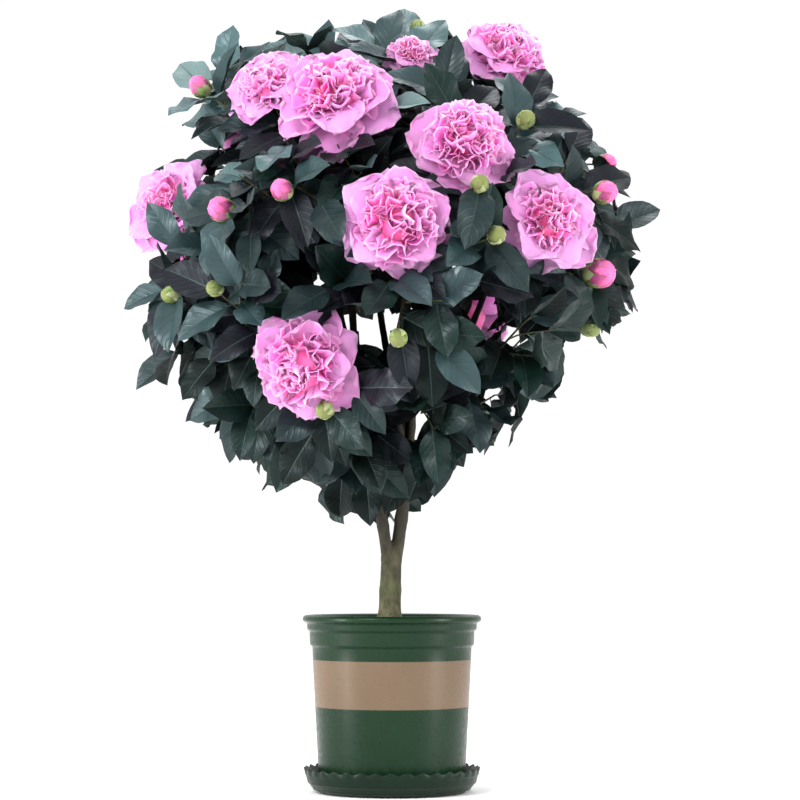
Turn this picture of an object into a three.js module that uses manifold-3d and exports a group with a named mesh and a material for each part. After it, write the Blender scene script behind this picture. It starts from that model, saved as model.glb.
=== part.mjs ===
// Camellia shrub grown as a small standard: a nursery pot on a scalloped saucer, a short forked
// trunk, and a round crown of leaf masses that carry blooms and buds.
// Millimetres, +Z up. The origin is the middle of the saucer's underside, and the front is -Y.

import * as THREE from "three";
import { mergeVertices } from "three/addons/utils/BufferGeometryUtils.js";
import Module from "manifold-3d";

const wasm = await Module();
wasm.setup();

// ---------------------------------------------------------------- driving dimensions

const GAP = 0.3; // clearance between pieces that touch

// Pot and saucer. A "turn" runs round the upright axis: 0 at the front, 90 on the right.
const POT_SIDES = 32;
const POT_WALL = 2.6;
const POT_FLOOR = 4; // underside of the pot, which stands on a low step in the saucer
const POT_RIM_Z = 219;
const POT_FOOT_RADIUS = 90.5;
const POT_BODY_RADIUS = 99;
const POT_STEP_RADIUS = 102;
const POT_COLLAR_RADIUS = 105.5;
const POT_BEAD_RADIUS = 111;
const POT_STEP_Z = 180; // lower edge of the upper step
const POT_COLLAR_Z = 199; // lower edge of the collar
const POT_BEAD_Z = 209; // lower edge of the rolled rim
const SAUCER_SCALLOPS = 36;
const SAUCER_RIM_Z = 30;
const SAUCER_RIM_RADIUS = 109;
const SAUCER_WALL = 2.4;
const SAUCER_FLOOR = 3.4; // top of the saucer's floor inside the step
const SAUCER_STEP_RADIUS = 85; // inner edge of the step and of the foot ring under it
const SAUCER_PAD_RADIUS = 40; // flat round pad in the middle of the underside
const SAUCER_RECESS = 1.2; // how far the underside is raised between the pad and the ring
const SCALLOP_RISE = 1.5;
const SOIL_Z = 206; // level of the potting mix round the trunk
const SOIL_EDGE_DROP = 5;

// Trunk, leaders and boughs.
const TRUNK_SIDES = 12;
const LEADER_SIDES = 6;
const BOUGH_SIDES = 5;
const FORK_Z = 300;
const TRUNK_RADIUS = 15;
const TRUNK_TOP_RADIUS = 13;
const TRUNK_SHOULDER = 0.7; // of the radius, at the very top between the leaders
const ROOT_FLARE = 4.5;
const FLARE_HEIGHT = 26;
const LEADERS_TOP_Z = 585;
const LOWEST_BOUGH_Z = 408;
const BOUGH_ROOT_RADIUS = 5;
const BOUGH_TIP_RADIUS = 4;

// Crown.
const HEART = new THREE.Vector3(8, 0, 636); // middle of the crown
const CROWN_RADIUS = 344;
const STEM_FOOT = 112; // from the heart to where a mass's stem meets its bough
const STEM_SAG = 150; // how far the feet of the low masses hang down
const STEM_RADIUS = 4.2;
const STEM_TIP_RADIUS = 3.4;
const STEM_STEPS = 2;
const FORK_STEP = 7; // between twigs along a stem
const TWIG_RADIUS = 1.7;
const TWIG_TIP_RADIUS = 1.4;
const SPRAYS = 84; // leafy twig ends over the whole round, set by the golden angle
const SPRAY_DEPTH = 76; // from a leafy twig's end out to the crown's outline
const SPRAY_INSET = 14; // from a leafy twig's end to the sides of its mass's space
const BARE_BELOW = -80; // no sprays steeper than this, where the trunk comes up
const SPACE_MARGIN = 0.7; // kept by every leaf to the sides of its mass's space
const OUTLINE_SLACK = 6; // how far a leaf may pass the crown's outline

// Leaves. They are a little larger than life, because there are fewer of them.
const LEAF_LENGTH = 102;
const LEAF_WIDTH = 0.52; // of the length
const LEAF_THICKNESS = 3;
const LEAF_FOLD = 0.07; // how far the edges stand above the midrib, of the length
const LEAF_TURNS = 9; // turns round its twig that are tried for a leaf
const ENOUGH_ROOM = 75; // between the middles of two leaves
const FLATNESS = 30; // what lying flat to the outline is worth against room
const LIMB_CLEARANCE = 9;
const BLOOM_LOBES = 6;
const CROWDED_BY = { bloom: 20, bud: 46, spray: 56 }; // no other spray within this of its edge

const GOLDEN_ANGLE = THREE.MathUtils.degToRad(137.508);

// The leaves round each kind of twig end. They stand in steps, from so far behind the end.
const WHORLS = {
  spray: { leaves: 6, back: 1, step: 13, firstLean: 22, lean: 66 },
  bud: { leaves: 4, back: 44, step: 9, firstLean: 52, lean: 68 },
  bloom: { leaves: 3, back: 9, step: 8, firstLean: 78, lean: 78 },
};

// The outline swells (+) or falls in (-) by so many mm round these directions.
const SWELLINGS = [
  { turn: 276, rise: 48, by: 42, spread: 42 },
  { turn: 84, rise: 44, by: -44, spread: 24 },
  { turn: 78, rise: 68, by: 24, spread: 26 },
  { turn: 84, rise: -40, by: -124, spread: 60 },
  { turn: 78, rise: -64, by: -52, spread: 40 },
  { turn: 275, rise: -52, by: -20, spread: 44 },
  { turn: 274, rise: -22, by: 16, spread: 20 },
  { turn: 90, rise: 0, by: 22, spread: 18 },
  { turn: 270, rise: 32, by: -16, spread: 14 },
  { turn: 268, rise: -66, by: -24, spread: 18 },
  { turn: 90, rise: -62, by: -46, spread: 22 },
  { turn: 90, rise: -32, by: -38, spread: 19 },
  { turn: 88, rise: 22, by: -14, spread: 12 },
];

// Openings in the leaves from front to back, at the crown's middle plane.
const SKY_GAPS = [
  { x: -12, z: 572, radius: 24 },
  { x: 112, z: 592, radius: 15 },
  { x: -88, z: 636, radius: 11 },
  { x: 26, z: 453, radius: 16 },
  { x: 152, z: 570, radius: 12 },
];
const SKY_GAP_RISE = 0.09; // they climb towards the back

// The masses of foliage: the direction that each takes from the crown's heart.
const MASSES = [
  { name: "front", turn: 5, rise: -5 },
  { name: "front_right", turn: 33, rise: 25 },
  { name: "front_left", turn: 327, rise: 30 },
  { name: "front_left_low", turn: 325, rise: -31 },
  { name: "front_right_low", turn: 39, rise: -42 },
  { name: "right", turn: 76, rise: -3 },
  { name: "right_top", turn: 83, rise: 50 },
  { name: "right_low", turn: 113, rise: -42 },
  { name: "right_back", turn: 125, rise: 10 },
  { name: "back", turn: 196, rise: 14 },
  { name: "back_top", turn: 160, rise: 52 },
  { name: "back_low", turn: 164, rise: -21 },
  { name: "left_back", turn: 242, rise: 31 },
  { name: "left_low", turn: 225, rise: -35 },
  { name: "left", turn: 279, rise: 2 },
  { name: "top", turn: 300, rise: 75 },
];

// Open blooms and buds, with their radius. Depth is from the outline down to the middle.
const BLOOM_DEPTH = 48;
const BUD_DEPTH = 28;
const BLOOMS = [
  { turn: 340, rise: 42, radius: 56 },
  { turn: 314, rise: 50, radius: 46 },
  { turn: 278, rise: 17, radius: 50 },
  { turn: 0, rise: 7, radius: 52 },
  { turn: 17, rise: 27, radius: 50 },
  { turn: 37, rise: 9, radius: 51 },
  { turn: 64, rise: 62, radius: 50 },
  { turn: 336, rise: -25, radius: 53 },
  { turn: 8, rise: 60, radius: 36 },
  { turn: 120, rise: 22, radius: 50 },
  { turn: 152, rise: 54, radius: 50 },
  { turn: 160, rise: -4, radius: 50 },
  { turn: 196, rise: 28, radius: 50 },
  { turn: 207, rise: -28, radius: 50 },
  { turn: 240, rise: 8, radius: 50 },
  { turn: 244, rise: 46, radius: 50 },
];
const BUDS = [
  { turn: 292, rise: 42, radius: 13 },
  { turn: 318, rise: 11, radius: 15 },
  { turn: 52, rise: -2, radius: 18 },
  { turn: 57, rise: 14, radius: 14 },
  { turn: 34, rise: 32, radius: 11 },
  { turn: 334, rise: 14, radius: 13 },
  { turn: 300, rise: -6, radius: 11 },
  { turn: 317, rise: -6, radius: 10 },
  { turn: 0, rise: -18, radius: 11 },
  { turn: 341, rise: -34, radius: 11 },
  { turn: 17, rise: 14, radius: 11 },
  { turn: 21, rise: 4, radius: 11 },
  { turn: 14, rise: 72, radius: 10 },
  { turn: 95, rise: 30, radius: 13 },
  { turn: 172, rise: 34, radius: 14 },
  { turn: 184, rise: -14, radius: 11 },
  { turn: 216, rise: 24, radius: 12 },
  { turn: 228, rise: -12, radius: 15 },
  { turn: 100, rise: -14, radius: 12 },
];

// Leafy twig ends that have their own places. The rest come between them.
const SHOOTS = [
  { turn: 284, rise: 70 },
  { turn: 273, rise: 50 },
  { turn: 268, rise: 30 },
  { turn: 270, rise: -4 },
  { turn: 272, rise: -22 },
  { turn: 88, rise: -1 },
  { turn: 88, rise: 30 },
  { turn: 4, rise: -38 },
  { turn: 20, rise: -60 },
  { turn: 340, rise: -64 },
  { turn: 350, rise: 22 },
  { turn: 306, rise: 4 },
  { turn: 345, rise: -50 },
  { turn: 8, rise: -72 },
];

// ---------------------------------------------------------------- materials

const finish = (color, roughness) =>
  new THREE.MeshStandardMaterial({ color, roughness, metalness: 0 });
const potPlastic = finish(0x2f5a3c, 0.42);
const saucerPlastic = finish(0x2a4f39, 0.45);
const pottingMix = finish(0x3b2a1d, 0.95);
const bark = finish(0x77735a, 0.85);
const foliage = finish(0x35584a, 0.45);

// ---------------------------------------------------------------- directions and chance

const { degToRad, lerp, clamp } = THREE.MathUtils;
const UP = new THREE.Vector3(0, 0, 1);
const ACROSS = new THREE.Vector3(1, 0, 0);
const FRONT = new THREE.Vector3(0, -1, 0);

/** Unit vector with a turn round the upright axis and a rise above the level, in degrees. */
function heading(turn, rise) {
  const t = degToRad(turn);
  const r = degToRad(rise);
  return new THREE.Vector3(Math.sin(t) * Math.cos(r), -Math.cos(t) * Math.cos(r), Math.sin(r));
}

/** Seeded chance: the same run of numbers from 0 to 1 every time. */
function chance(seed) {
  let state = (seed * 7919 + 12345) % 4294967296;
  const draw = () => {
    state = (state * 1664525 + 1013904223) % 4294967296;
    return state / 4294967296;
  };
  draw();
  return draw;
}

/** How far the crown reaches from its heart in a direction. */
function crownReach(direction) {
  let reach = CROWN_RADIUS;
  for (const swelling of SWELLINGS) {
    const angle = direction.angleTo(heading(swelling.turn, swelling.rise));
    const share = Math.min(1, angle / degToRad(swelling.spread));
    reach += swelling.by * 0.5 * (1 + Math.cos(Math.PI * share));
  }
  return reach;
}

const mix = (a, b, share) => a.clone().lerp(b, share);
const offset = (point, direction, by) => point.clone().addScaledVector(direction, by);

// ---------------------------------------------------------------- solids

/** A closed three.js geometry as a solid for joining and cutting. */
function solidOf(geometry) {
  const bare = new THREE.BufferGeometry();
  bare.setAttribute("position", geometry.getAttribute("position").clone());
  if (geometry.index) bare.setIndex(geometry.index.clone());
  const merged = mergeVertices(bare, 1e-3);
  const corners = merged.index.array;
  const kept = [];
  for (let i = 0; i < corners.length; i += 3) {
    const [a, b, c] = [corners[i], corners[i + 1], corners[i + 2]];
    if (a !== b && b !== c && c !== a) kept.push(a, b, c);
  }
  return new wasm.Manifold(
    new wasm.Mesh({
      numProp: 3,
      vertProperties: new Float32Array(merged.getAttribute("position").array),
      triVerts: new Uint32Array(kept),
    }),
  );
}

/** The largest body of a solid once its corners are merged, without scraps or sealed hollows. */
function mainBody(solid) {
  const bodies = solidOf(geometryOf(solid)).decompose();
  return bodies.reduce((best, body) => (body.volume() > best.volume() ? body : best));
}

/** A solid back as a three.js geometry. */
function geometryOf(solid) {
  const mesh = solid.getMesh();
  const geometry = new THREE.BufferGeometry();
  geometry.setAttribute("position", new THREE.BufferAttribute(mesh.vertProperties, 3));
  geometry.setIndex(new THREE.BufferAttribute(mesh.triVerts, 1));
  geometry.computeVertexNormals();
  return geometry;
}

function piece(name, geometry, material) {
  const mesh = new THREE.Mesh(geometry, material);
  mesh.name = name;
  return mesh;
}

/** Two directions square to an axis, the same ones each time. */
function sideways(axis) {
  const reference = Math.abs(axis.z) > 0.9 ? ACROSS : UP;
  const side = new THREE.Vector3().crossVectors(reference, axis).normalize();
  return [side, new THREE.Vector3().crossVectors(axis, side)];
}

/** A limb that tapers along a curve: a cylinder bent to it. */
function limbGeometry(curve, radiusAt, sides, steps) {
  const geometry = new THREE.CylinderGeometry(1, 1, 1, sides, steps);
  geometry.deleteAttribute("normal");
  geometry.deleteAttribute("uv");
  const place = geometry.getAttribute("position");
  const chord = curve.getPoint(1).sub(curve.getPoint(0)).normalize();
  const reference = Math.abs(chord.z) > 0.9 ? ACROSS : UP;
  for (let i = 0; i < place.count; i++) {
    const share = clamp(0.5 + place.getY(i), 0, 1);
    const along = curve.getTangent(share);
    const side = new THREE.Vector3().crossVectors(reference, along).normalize();
    const other = new THREE.Vector3().crossVectors(side, along);
    const radius = radiusAt(share);
    const point = curve
      .getPoint(share)
      .addScaledVector(side, place.getX(i) * radius)
      .addScaledVector(other, place.getZ(i) * radius);
    place.setXYZ(i, point.x, point.y, point.z);
  }
  return geometry;
}

// ---------------------------------------------------------------- pot, saucer, soil

function lathe(profile, sides) {
  const geometry = new THREE.LatheGeometry(
    profile.map(([radius, z]) => new THREE.Vector2(radius, z)),
    sides,
  );
  return geometry.rotateX(Math.PI / 2);
}

/** Inner radius of the pot's wall at a height. */
function potBore(z) {
  const share = (z - POT_FLOOR) / (POT_STEP_Z - POT_FLOOR);
  return lerp(POT_FOOT_RADIUS, POT_BODY_RADIUS, Math.min(1, share)) - POT_WALL;
}

function potGeometry() {
  const innerFloor = POT_FLOOR + POT_WALL;
  return lathe(
    [
      [0, POT_FLOOR],
      [POT_FOOT_RADIUS - 3, POT_FLOOR],
      [POT_FOOT_RADIUS, POT_FLOOR + 5],
      [POT_BODY_RADIUS, POT_STEP_Z],
      [POT_STEP_RADIUS, POT_STEP_Z + 2],
      [POT_STEP_RADIUS + 0.6, POT_COLLAR_Z],
      [POT_COLLAR_RADIUS, POT_COLLAR_Z + 2],
      [POT_COLLAR_RADIUS + 0.4, POT_BEAD_Z],
      [POT_BEAD_RADIUS, POT_BEAD_Z + 2.5],
      [POT_BEAD_RADIUS, POT_RIM_Z - 2.5],
      [POT_BEAD_RADIUS - 4, POT_RIM_Z],
      [POT_STEP_RADIUS - POT_WALL, POT_RIM_Z - 3],
      [potBore(POT_STEP_Z), POT_STEP_Z],
      [potBore(innerFloor), innerFloor],
      [0, innerFloor],
    ],
    POT_SIDES,
  );
}

/** Profile of the saucer: a pad and a foot ring under it, and a step in it that carries the pot. */
function saucerProfile() {
  return [
    [0, 0],
    [SAUCER_PAD_RADIUS, 0],
    [SAUCER_PAD_RADIUS + 1, SAUCER_RECESS],
    [SAUCER_STEP_RADIUS - 1, SAUCER_RECESS],
    [SAUCER_STEP_RADIUS, 0],
    [90, 0],
    [103.5, 12],
    [SAUCER_RIM_RADIUS, SAUCER_RIM_Z],
    [SAUCER_RIM_RADIUS - SAUCER_WALL, SAUCER_RIM_Z],
    [98, POT_FLOOR],
    [SAUCER_STEP_RADIUS + 1, POT_FLOOR],
    [SAUCER_STEP_RADIUS, SAUCER_FLOOR],
    [0, SAUCER_FLOOR],
  ];
}

function saucerGeometry() {
  const geometry = lathe(saucerProfile(), SAUCER_SCALLOPS * 2);
  const place = geometry.getAttribute("position");
  for (let i = 0; i < place.count; i++) {
    if (Math.abs(place.getZ(i) - SAUCER_RIM_Z) > 0.5) continue;
    const turn = Math.atan2(place.getY(i), place.getX(i));
    place.setZ(i, SAUCER_RIM_Z + SCALLOP_RISE * Math.cos(turn * SAUCER_SCALLOPS));
  }
  return geometry;
}

function soilGeometry() {
  const bottom = POT_FLOOR + POT_WALL;
  const edge = SOIL_Z - SOIL_EDGE_DROP;
  return lathe(
    [
      [0, bottom],
      [potBore(bottom) - GAP, bottom],
      [potBore(POT_STEP_Z) - GAP, POT_STEP_Z],
      [potBore(POT_STEP_Z) - GAP, edge],
      [TRUNK_RADIUS + ROOT_FLARE + 12, SOIL_Z],
      [0, SOIL_Z],
    ],
    POT_SIDES / 2,
  );
}

// ---------------------------------------------------------------- trunk, leaders, boughs

const point = (x, y, z) => new THREE.Vector3(x, y, z);

/** A curve whose height grows evenly from its first point to its last. */
function risingCurve(foot, lower, upper, top) {
  const level = (share) => lerp(foot.z, top.z, share);
  return new THREE.CubicBezierCurve3(
    foot,
    point(lower[0], lower[1], level(1 / 3)),
    point(upper[0], upper[1], level(2 / 3)),
    top,
  );
}

const trunk = {
  name: "trunk",
  curve: risingCurve(point(-3, 0, SOIL_Z - 2), [-3, 0], [-1, 1], point(0, 0, FORK_Z + 6)),
  radiusAt: (share) => {
    const height = share * (FORK_Z + 8 - SOIL_Z) - 2;
    const flare = ROOT_FLARE * Math.min(1, Math.max(0, 1 - height / FLARE_HEIGHT)) ** 2;
    const shoulder = share > 0.9 ? TRUNK_SHOULDER : 1;
    return lerp(TRUNK_RADIUS, TRUNK_TOP_RADIUS, share) * shoulder + flare;
  },
  sides: TRUNK_SIDES,
  steps: 7,
};

const leaders = [
  {
    name: "leader_left",
    curve: risingCurve(
      point(-6, -2, FORK_Z - 8),
      [-16, -4],
      [-44, -10],
      point(-46, -6, LEADERS_TOP_Z - 12),
    ),
    radiusAt: (share) => lerp(6.6, 4.8, share),
  },
  {
    name: "leader_right",
    curve: risingCurve(
      point(5, 1, FORK_Z - 8),
      [20, 2],
      [28, -12],
      point(26, -14, LEADERS_TOP_Z),
    ),
    radiusAt: (share) => lerp(8.4, 5.2, share),
  },
  {
    name: "leader_back",
    curve: risingCurve(
      point(15, 0, FORK_Z + 64),
      [8, 26],
      [4, 44],
      point(2, 46, LEADERS_TOP_Z - 6),
    ),
    radiusAt: (share) => lerp(6, 4.8, share),
  },
];
for (const leader of leaders) Object.assign(leader, { sides: LEADER_SIDES, steps: 6 });

/** The bough of a mass: it leaves the nearest leader and climbs to the foot of the mass's stem. */
function boughTo(mass) {
  const top = heading(300, 75).z;
  const low = heading(0, -42).z;
  const share = clamp((mass.axis.z - low) / (top - low), 0, 1);
  const z = lerp(LOWEST_BOUGH_Z, LEADERS_TOP_Z - 22, share);
  let root = null;
  let nearest = Infinity;
  for (const leader of leaders) {
    const [foot, head] = [leader.curve.getPoint(0).z, leader.curve.getPoint(1).z];
    const start = leader.curve.getPoint(clamp((z - foot) / (head - foot), 0.08, 0.94));
    const distance = start.distanceTo(mass.foot);
    if (distance < nearest) [root, nearest] = [start, distance];
  }
  const bend = mix(root, mass.foot, 0.5);
  bend.x += mass.axis.x * nearest * 0.12;
  bend.y += mass.axis.y * nearest * 0.12;
  return {
    name: "bough_" + mass.name,
    curve: new THREE.QuadraticBezierCurve3(root, bend, mass.foot),
    radiusAt: (along) => lerp(BOUGH_ROOT_RADIUS, BOUGH_TIP_RADIUS, along),
    sides: BOUGH_SIDES,
    steps: 3,
  };
}

/** A limb as a solid, wider all round by a clearance. */
function limbSolid(limb, clearance = 0) {
  const radiusAt = (share) => limb.radiusAt(share) + clearance;
  return solidOf(limbGeometry(limb.curve, radiusAt, limb.sides, limb.steps));
}

/** Each limb's solid, cut off at the soil and clear of the limbs that it grows from or passes. */
function limbSolids(limbs) {
  return limbs.map((limb, i) => {
    let solid = limbSolid(limb).trimByPlane([0, 0, 1], SOIL_Z);
    for (const other of limbs.slice(0, i)) solid = solid.subtract(limbSolid(other, GAP));
    return mainBody(solid);
  });
}

/** Points down the middle of each limb, with its radius there, for keeping leaves clear of it. */
function limbBeads(limbs) {
  const beads = [];
  for (const limb of limbs) {
    const count = Math.ceil(limb.curve.getLength() / 6);
    for (let i = 0; i <= count; i++) {
      beads.push({ at: limb.curve.getPoint(i / count), radius: limb.radiusAt(i / count) });
    }
  }
  return beads;
}

// ---------------------------------------------------------------- the masses' spaces

for (const mass of MASSES) {
  mass.axis = heading(mass.turn, mass.rise);
  mass.foot = offset(HEART, mass.axis, STEM_FOOT);
  mass.foot.z -= STEM_SAG * Math.max(0, -mass.axis.z);
  mass.ends = [];
}

/** The flat sides of a mass's space: planes through the heart, halfway to each neighbour. */
for (const mass of MASSES) {
  mass.sides = MASSES.filter((other) => other !== mass).map((other) =>
    mass.axis.clone().sub(other.axis).normalize(),
  );
}

const inward = (mass, at) => {
  const from = at.clone().sub(HEART);
  return Math.min(...mass.sides.map((side) => from.dot(side)));
};

/** A point moved so that it lies at least a margin inside its mass's space. */
function pulledInside(mass, at, margin) {
  const moved = at.clone();
  for (let round = 0; round < 12; round++) {
    for (const side of mass.sides) {
      const short = margin - moved.clone().sub(HEART).dot(side);
      if (short > 0) moved.addScaledVector(side, short + 0.05);
    }
  }
  return moved;
}

const massOf = (direction) =>
  MASSES.reduce((best, mass) =>
    mass.axis.dot(direction) > best.axis.dot(direction) ? mass : best,
  );

/** Where each twig ends: blooms and buds in their places, leafy ends evenly between them. */
function setOutEnds() {
  const taken = [];
  const add = (kind, spot, depth, radius, inset) => {
    const direction = heading(spot.turn, spot.rise);
    const mass = massOf(direction);
    const at = offset(HEART, direction, crownReach(direction) - depth);
    const end = { kind, radius, mass, at: pulledInside(mass, at, inset) };
    end.facing = end.at.clone().sub(HEART).normalize();
    mass.ends.push(end);
    taken.push(end);
  };
  for (const bloom of BLOOMS) add("bloom", bloom, BLOOM_DEPTH, bloom.radius, bloom.radius + 3);
  for (const bud of BUDS) add("bud", bud, BUD_DEPTH, bud.radius, bud.radius + 6);
  for (const shoot of SHOOTS) add("spray", shoot, SPRAY_DEPTH, 0, SPRAY_INSET);
  const placed = [...taken];
  for (let i = 0; i < SPRAYS; i++) {
    const z = 1 - (2 * i + 1) / SPRAYS;
    if (z < Math.sin(degToRad(BARE_BELOW))) continue;
    const turn = THREE.MathUtils.radToDeg(i * GOLDEN_ANGLE) % 360;
    const spot = { turn, rise: THREE.MathUtils.radToDeg(Math.asin(z)) };
    const direction = heading(spot.turn, spot.rise);
    const crowded = placed.some(
      (end) =>
        end.at.distanceTo(offset(HEART, direction, end.at.distanceTo(HEART))) <
        end.radius + CROWDED_BY[end.kind],
    );
    if (!crowded) add("spray", spot, SPRAY_DEPTH * (0.9 + 0.35 * chance(i)()), 0, SPRAY_INSET);
  }
}

// ---------------------------------------------------------------- leaves, buds, blooms

/** A leaf: its base, its lie and its size. Its edges stand above the midrib. */
function leafAt(base, along, faceUp, length) {
  const up = faceUp.clone().addScaledVector(along, -faceUp.dot(along)).normalize();
  const across = new THREE.Vector3().crossVectors(along, up);
  const half = (length * LEAF_WIDTH) / 2;
  const middle = offset(base, along, length * 0.45);
  const edges = offset(middle, up, length * LEAF_FOLD);
  const leaf = {
    base,
    along,
    up,
    middle,
    left: offset(edges, across, -half),
    right: offset(edges, across, half),
    tip: offset(base, along, length).addScaledVector(up, -length * LEAF_FOLD * 0.6),
    inner: offset(base, along, length * 0.2),
  };
  leaf.samples = [leaf.left, leaf.right, leaf.tip, leaf.middle];
  for (const edge of [leaf.left, leaf.right, leaf.middle]) {
    leaf.samples.push(mix(leaf.inner, edge, 0.4), mix(edge, leaf.tip, 0.33));
    leaf.samples.push(mix(edge, leaf.tip, 0.67));
  }
  leaf.faces = [
    [leaf.inner, leaf.left, leaf.tip],
    [leaf.inner, leaf.tip, leaf.right],
  ];
  leaf.lines = [
    [leaf.inner, leaf.left],
    [leaf.left, leaf.tip],
    [leaf.tip, leaf.right],
    [leaf.right, leaf.inner],
    [leaf.inner, leaf.tip],
  ];
  return leaf;
}

/** A leaf's solid: an octahedron whose corners are drawn out to the leaf's. */
function leafGeometry(leaf) {
  const geometry = new THREE.OctahedronGeometry(1);
  const place = geometry.getAttribute("position");
  const half = LEAF_THICKNESS / 2;
  const corners = {
    x: [leaf.tip, offset(leaf.base, leaf.along, -0.3)],
    y: [leaf.left, leaf.right],
    z: [offset(leaf.middle, leaf.up, half), offset(leaf.middle, leaf.up, -half)],
  };
  for (let i = 0; i < place.count; i++) {
    const [x, y, z] = [place.getX(i), place.getY(i), place.getZ(i)];
    const pair = Math.abs(x) > 0.5 ? corners.x : Math.abs(y) > 0.5 ? corners.y : corners.z;
    const corner = pair[x + y + z > 0 ? 0 : 1];
    place.setXYZ(i, corner.x, corner.y, corner.z);
  }
  return geometry;
}

/** Stands a geometry made round +Z at a place, facing a way. */
function stood(geometry, at, facing) {
  const turn = new THREE.Quaternion().setFromUnitVectors(UP, facing);
  return geometry.applyQuaternion(turn).translate(at.x, at.y, at.z);
}

function budGeometry(end) {
  const bud = new THREE.IcosahedronGeometry(end.radius, 0).scale(1, 1, 1.2);
  return stood(bud, end.at, end.facing);
}

/** An open bloom: a lobed ring of guard petals round a domed heart. */
function bloomGeometry(end) {
  const profile = [
    [0, -0.3],
    [0.34, -0.24],
    [0.94, 0.02],
    [0.66, 0.14],
    [0.5, 0.44],
    [0, 0.57],
  ];
  const bloom = lathe(profile, BLOOM_LOBES * 2);
  const place = bloom.getAttribute("position");
  for (let i = 0; i < place.count; i++) {
    const [x, y, z] = [place.getX(i), place.getY(i), place.getZ(i)];
    const out = Math.hypot(x, y);
    const wave = Math.cos(Math.atan2(y, x) * BLOOM_LOBES);
    const share = out > 0.8 ? 0.07 : out > 0.3 && z > 0.2 ? 0.05 : 0;
    const grow = 1 + share * wave;
    place.setXYZ(i, x * grow, y * grow, z + (out > 0.8 ? 0.08 * wave : 0));
  }
  bloom.scale(end.radius, end.radius, end.radius);
  return stood(bloom, end.at, end.facing);
}

// ---------------------------------------------------------------- what a leaf must keep clear of

const ray = new THREE.Ray();
const spot = new THREE.Vector3();

/** True if a line from a to b passes through a triangle. */
function pierces([a, b], [p, q, r]) {
  ray.origin.copy(a);
  ray.direction.copy(b).sub(a);
  const length = ray.direction.length();
  ray.direction.divideScalar(length);
  const hit = ray.intersectTriangle(p, q, r, false, spot);
  return hit !== null && hit.distanceTo(a) <= length;
}

const leavesCross = (one, two) =>
  one.middle.distanceTo(two.middle) < LEAF_LENGTH * 1.1 &&
  (one.lines.some((line) => two.faces.some((face) => pierces(line, face))) ||
    two.lines.some((line) => one.faces.some((face) => pierces(line, face))));

/** True if a point lies in an end's bloom or bud, or in front of the bloom's face. */
function covers(end, at) {
  if (end.kind === "spray") return false;
  const from = at.clone().sub(end.at);
  if (end.kind === "bud") return from.length() < end.radius * 1.2 + 3;
  const height = from.dot(end.facing);
  const out = Math.sqrt(Math.max(0, from.lengthSq() - height * height));
  return height > -0.34 * end.radius && out < 1.02 * end.radius;
}

function inSkyGap(at) {
  return SKY_GAPS.some((gap) => {
    const height = at.z - gap.z - SKY_GAP_RISE * at.y;
    return Math.hypot(at.x - gap.x, height) < gap.radius;
  });
}

function leafFits(leaf, mass, grown, beads) {
  for (const at of leaf.samples) {
    if (inward(mass, at) < SPACE_MARGIN) return false;
    if (inSkyGap(at)) return false;
    const reach = crownReach(at.clone().sub(HEART).normalize());
    if (at.distanceTo(HEART) > reach + OUTLINE_SLACK) return false;
    if (mass.ends.some((end) => covers(end, at))) return false;
    if (beads.some((bead) => at.distanceTo(bead.at) < bead.radius + LIMB_CLEARANCE)) return false;
  }
  if (grown.leaves.some((other) => leavesCross(leaf, other))) return false;
  return !grown.twigLines.some((line) => leaf.faces.some((face) => pierces(line, face)));
}

// ---------------------------------------------------------------- how a mass grows

/** The stem of a mass, from its bough's tip towards the middle of its twig ends. */
function stemOf(mass, bough) {
  const away = bough.curve.getTangent(1);
  const foot = offset(mass.foot, away, GAP);
  const middle = new THREE.Vector3();
  for (const end of mass.ends) middle.addScaledVector(end.at, 1 / mass.ends.length);
  const head = mix(foot, middle, 0.62);
  const bend = offset(foot, away, foot.distanceTo(head) * 0.4);
  return new THREE.QuadraticBezierCurve3(foot, bend, head);
}

/** A point on the straight steps that a limb's solid takes along its curve. */
function onSteps(curve, steps, share) {
  const step = Math.min(steps - 1, Math.floor(share * steps));
  const [from, to] = [curve.getPoint(step / steps), curve.getPoint((step + 1) / steps)];
  return mix(from, to, share * steps - step);
}

/** Straight twigs from the stem to each end. They fork off one by one, at about 45 degrees. */
function twigsOn(stem, ends) {
  const foot = stem.getPoint(0);
  const chord = stem.getPoint(1).sub(foot);
  const length = chord.length();
  chord.divideScalar(length);
  const forks = ends.map((end) => {
    const reach = end.at.clone().sub(foot);
    const forward = reach.dot(chord);
    const aside = reach.addScaledVector(chord, -forward).length();
    return { end, share: (forward - aside) / length };
  });
  let last = 1;
  for (const fork of forks.toSorted((one, two) => two.share - one.share)) {
    last = Math.max(0.06, Math.min(fork.share, last - FORK_STEP / length));
    fork.root = onSteps(stem, STEM_STEPS, last);
  }
  return forks.map(({ end, root }) => {
    const head = end.kind === "bloom" ? offset(end.at, end.facing, -0.2 * end.radius) : end.at;
    return new THREE.LineCurve3(root, head);
  });
}

/** The way that a leaf's upper face looks: outward, up, and towards the light at the front. */
function lightOn(outward) {
  return outward.clone().multiplyScalar(0.6).addScaledVector(UP, 0.35).addScaledVector(FRONT, 0.4);
}

/** A leaf's room: how far its middle is from the nearest leaf, and how flat it lies. */
function roomFor(leaf, outward, leaves) {
  let nearest = ENOUGH_ROOM;
  for (const other of leaves) nearest = Math.min(nearest, leaf.middle.distanceTo(other.middle));
  return nearest + FLATNESS * Math.abs(leaf.up.dot(outward));
}

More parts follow.
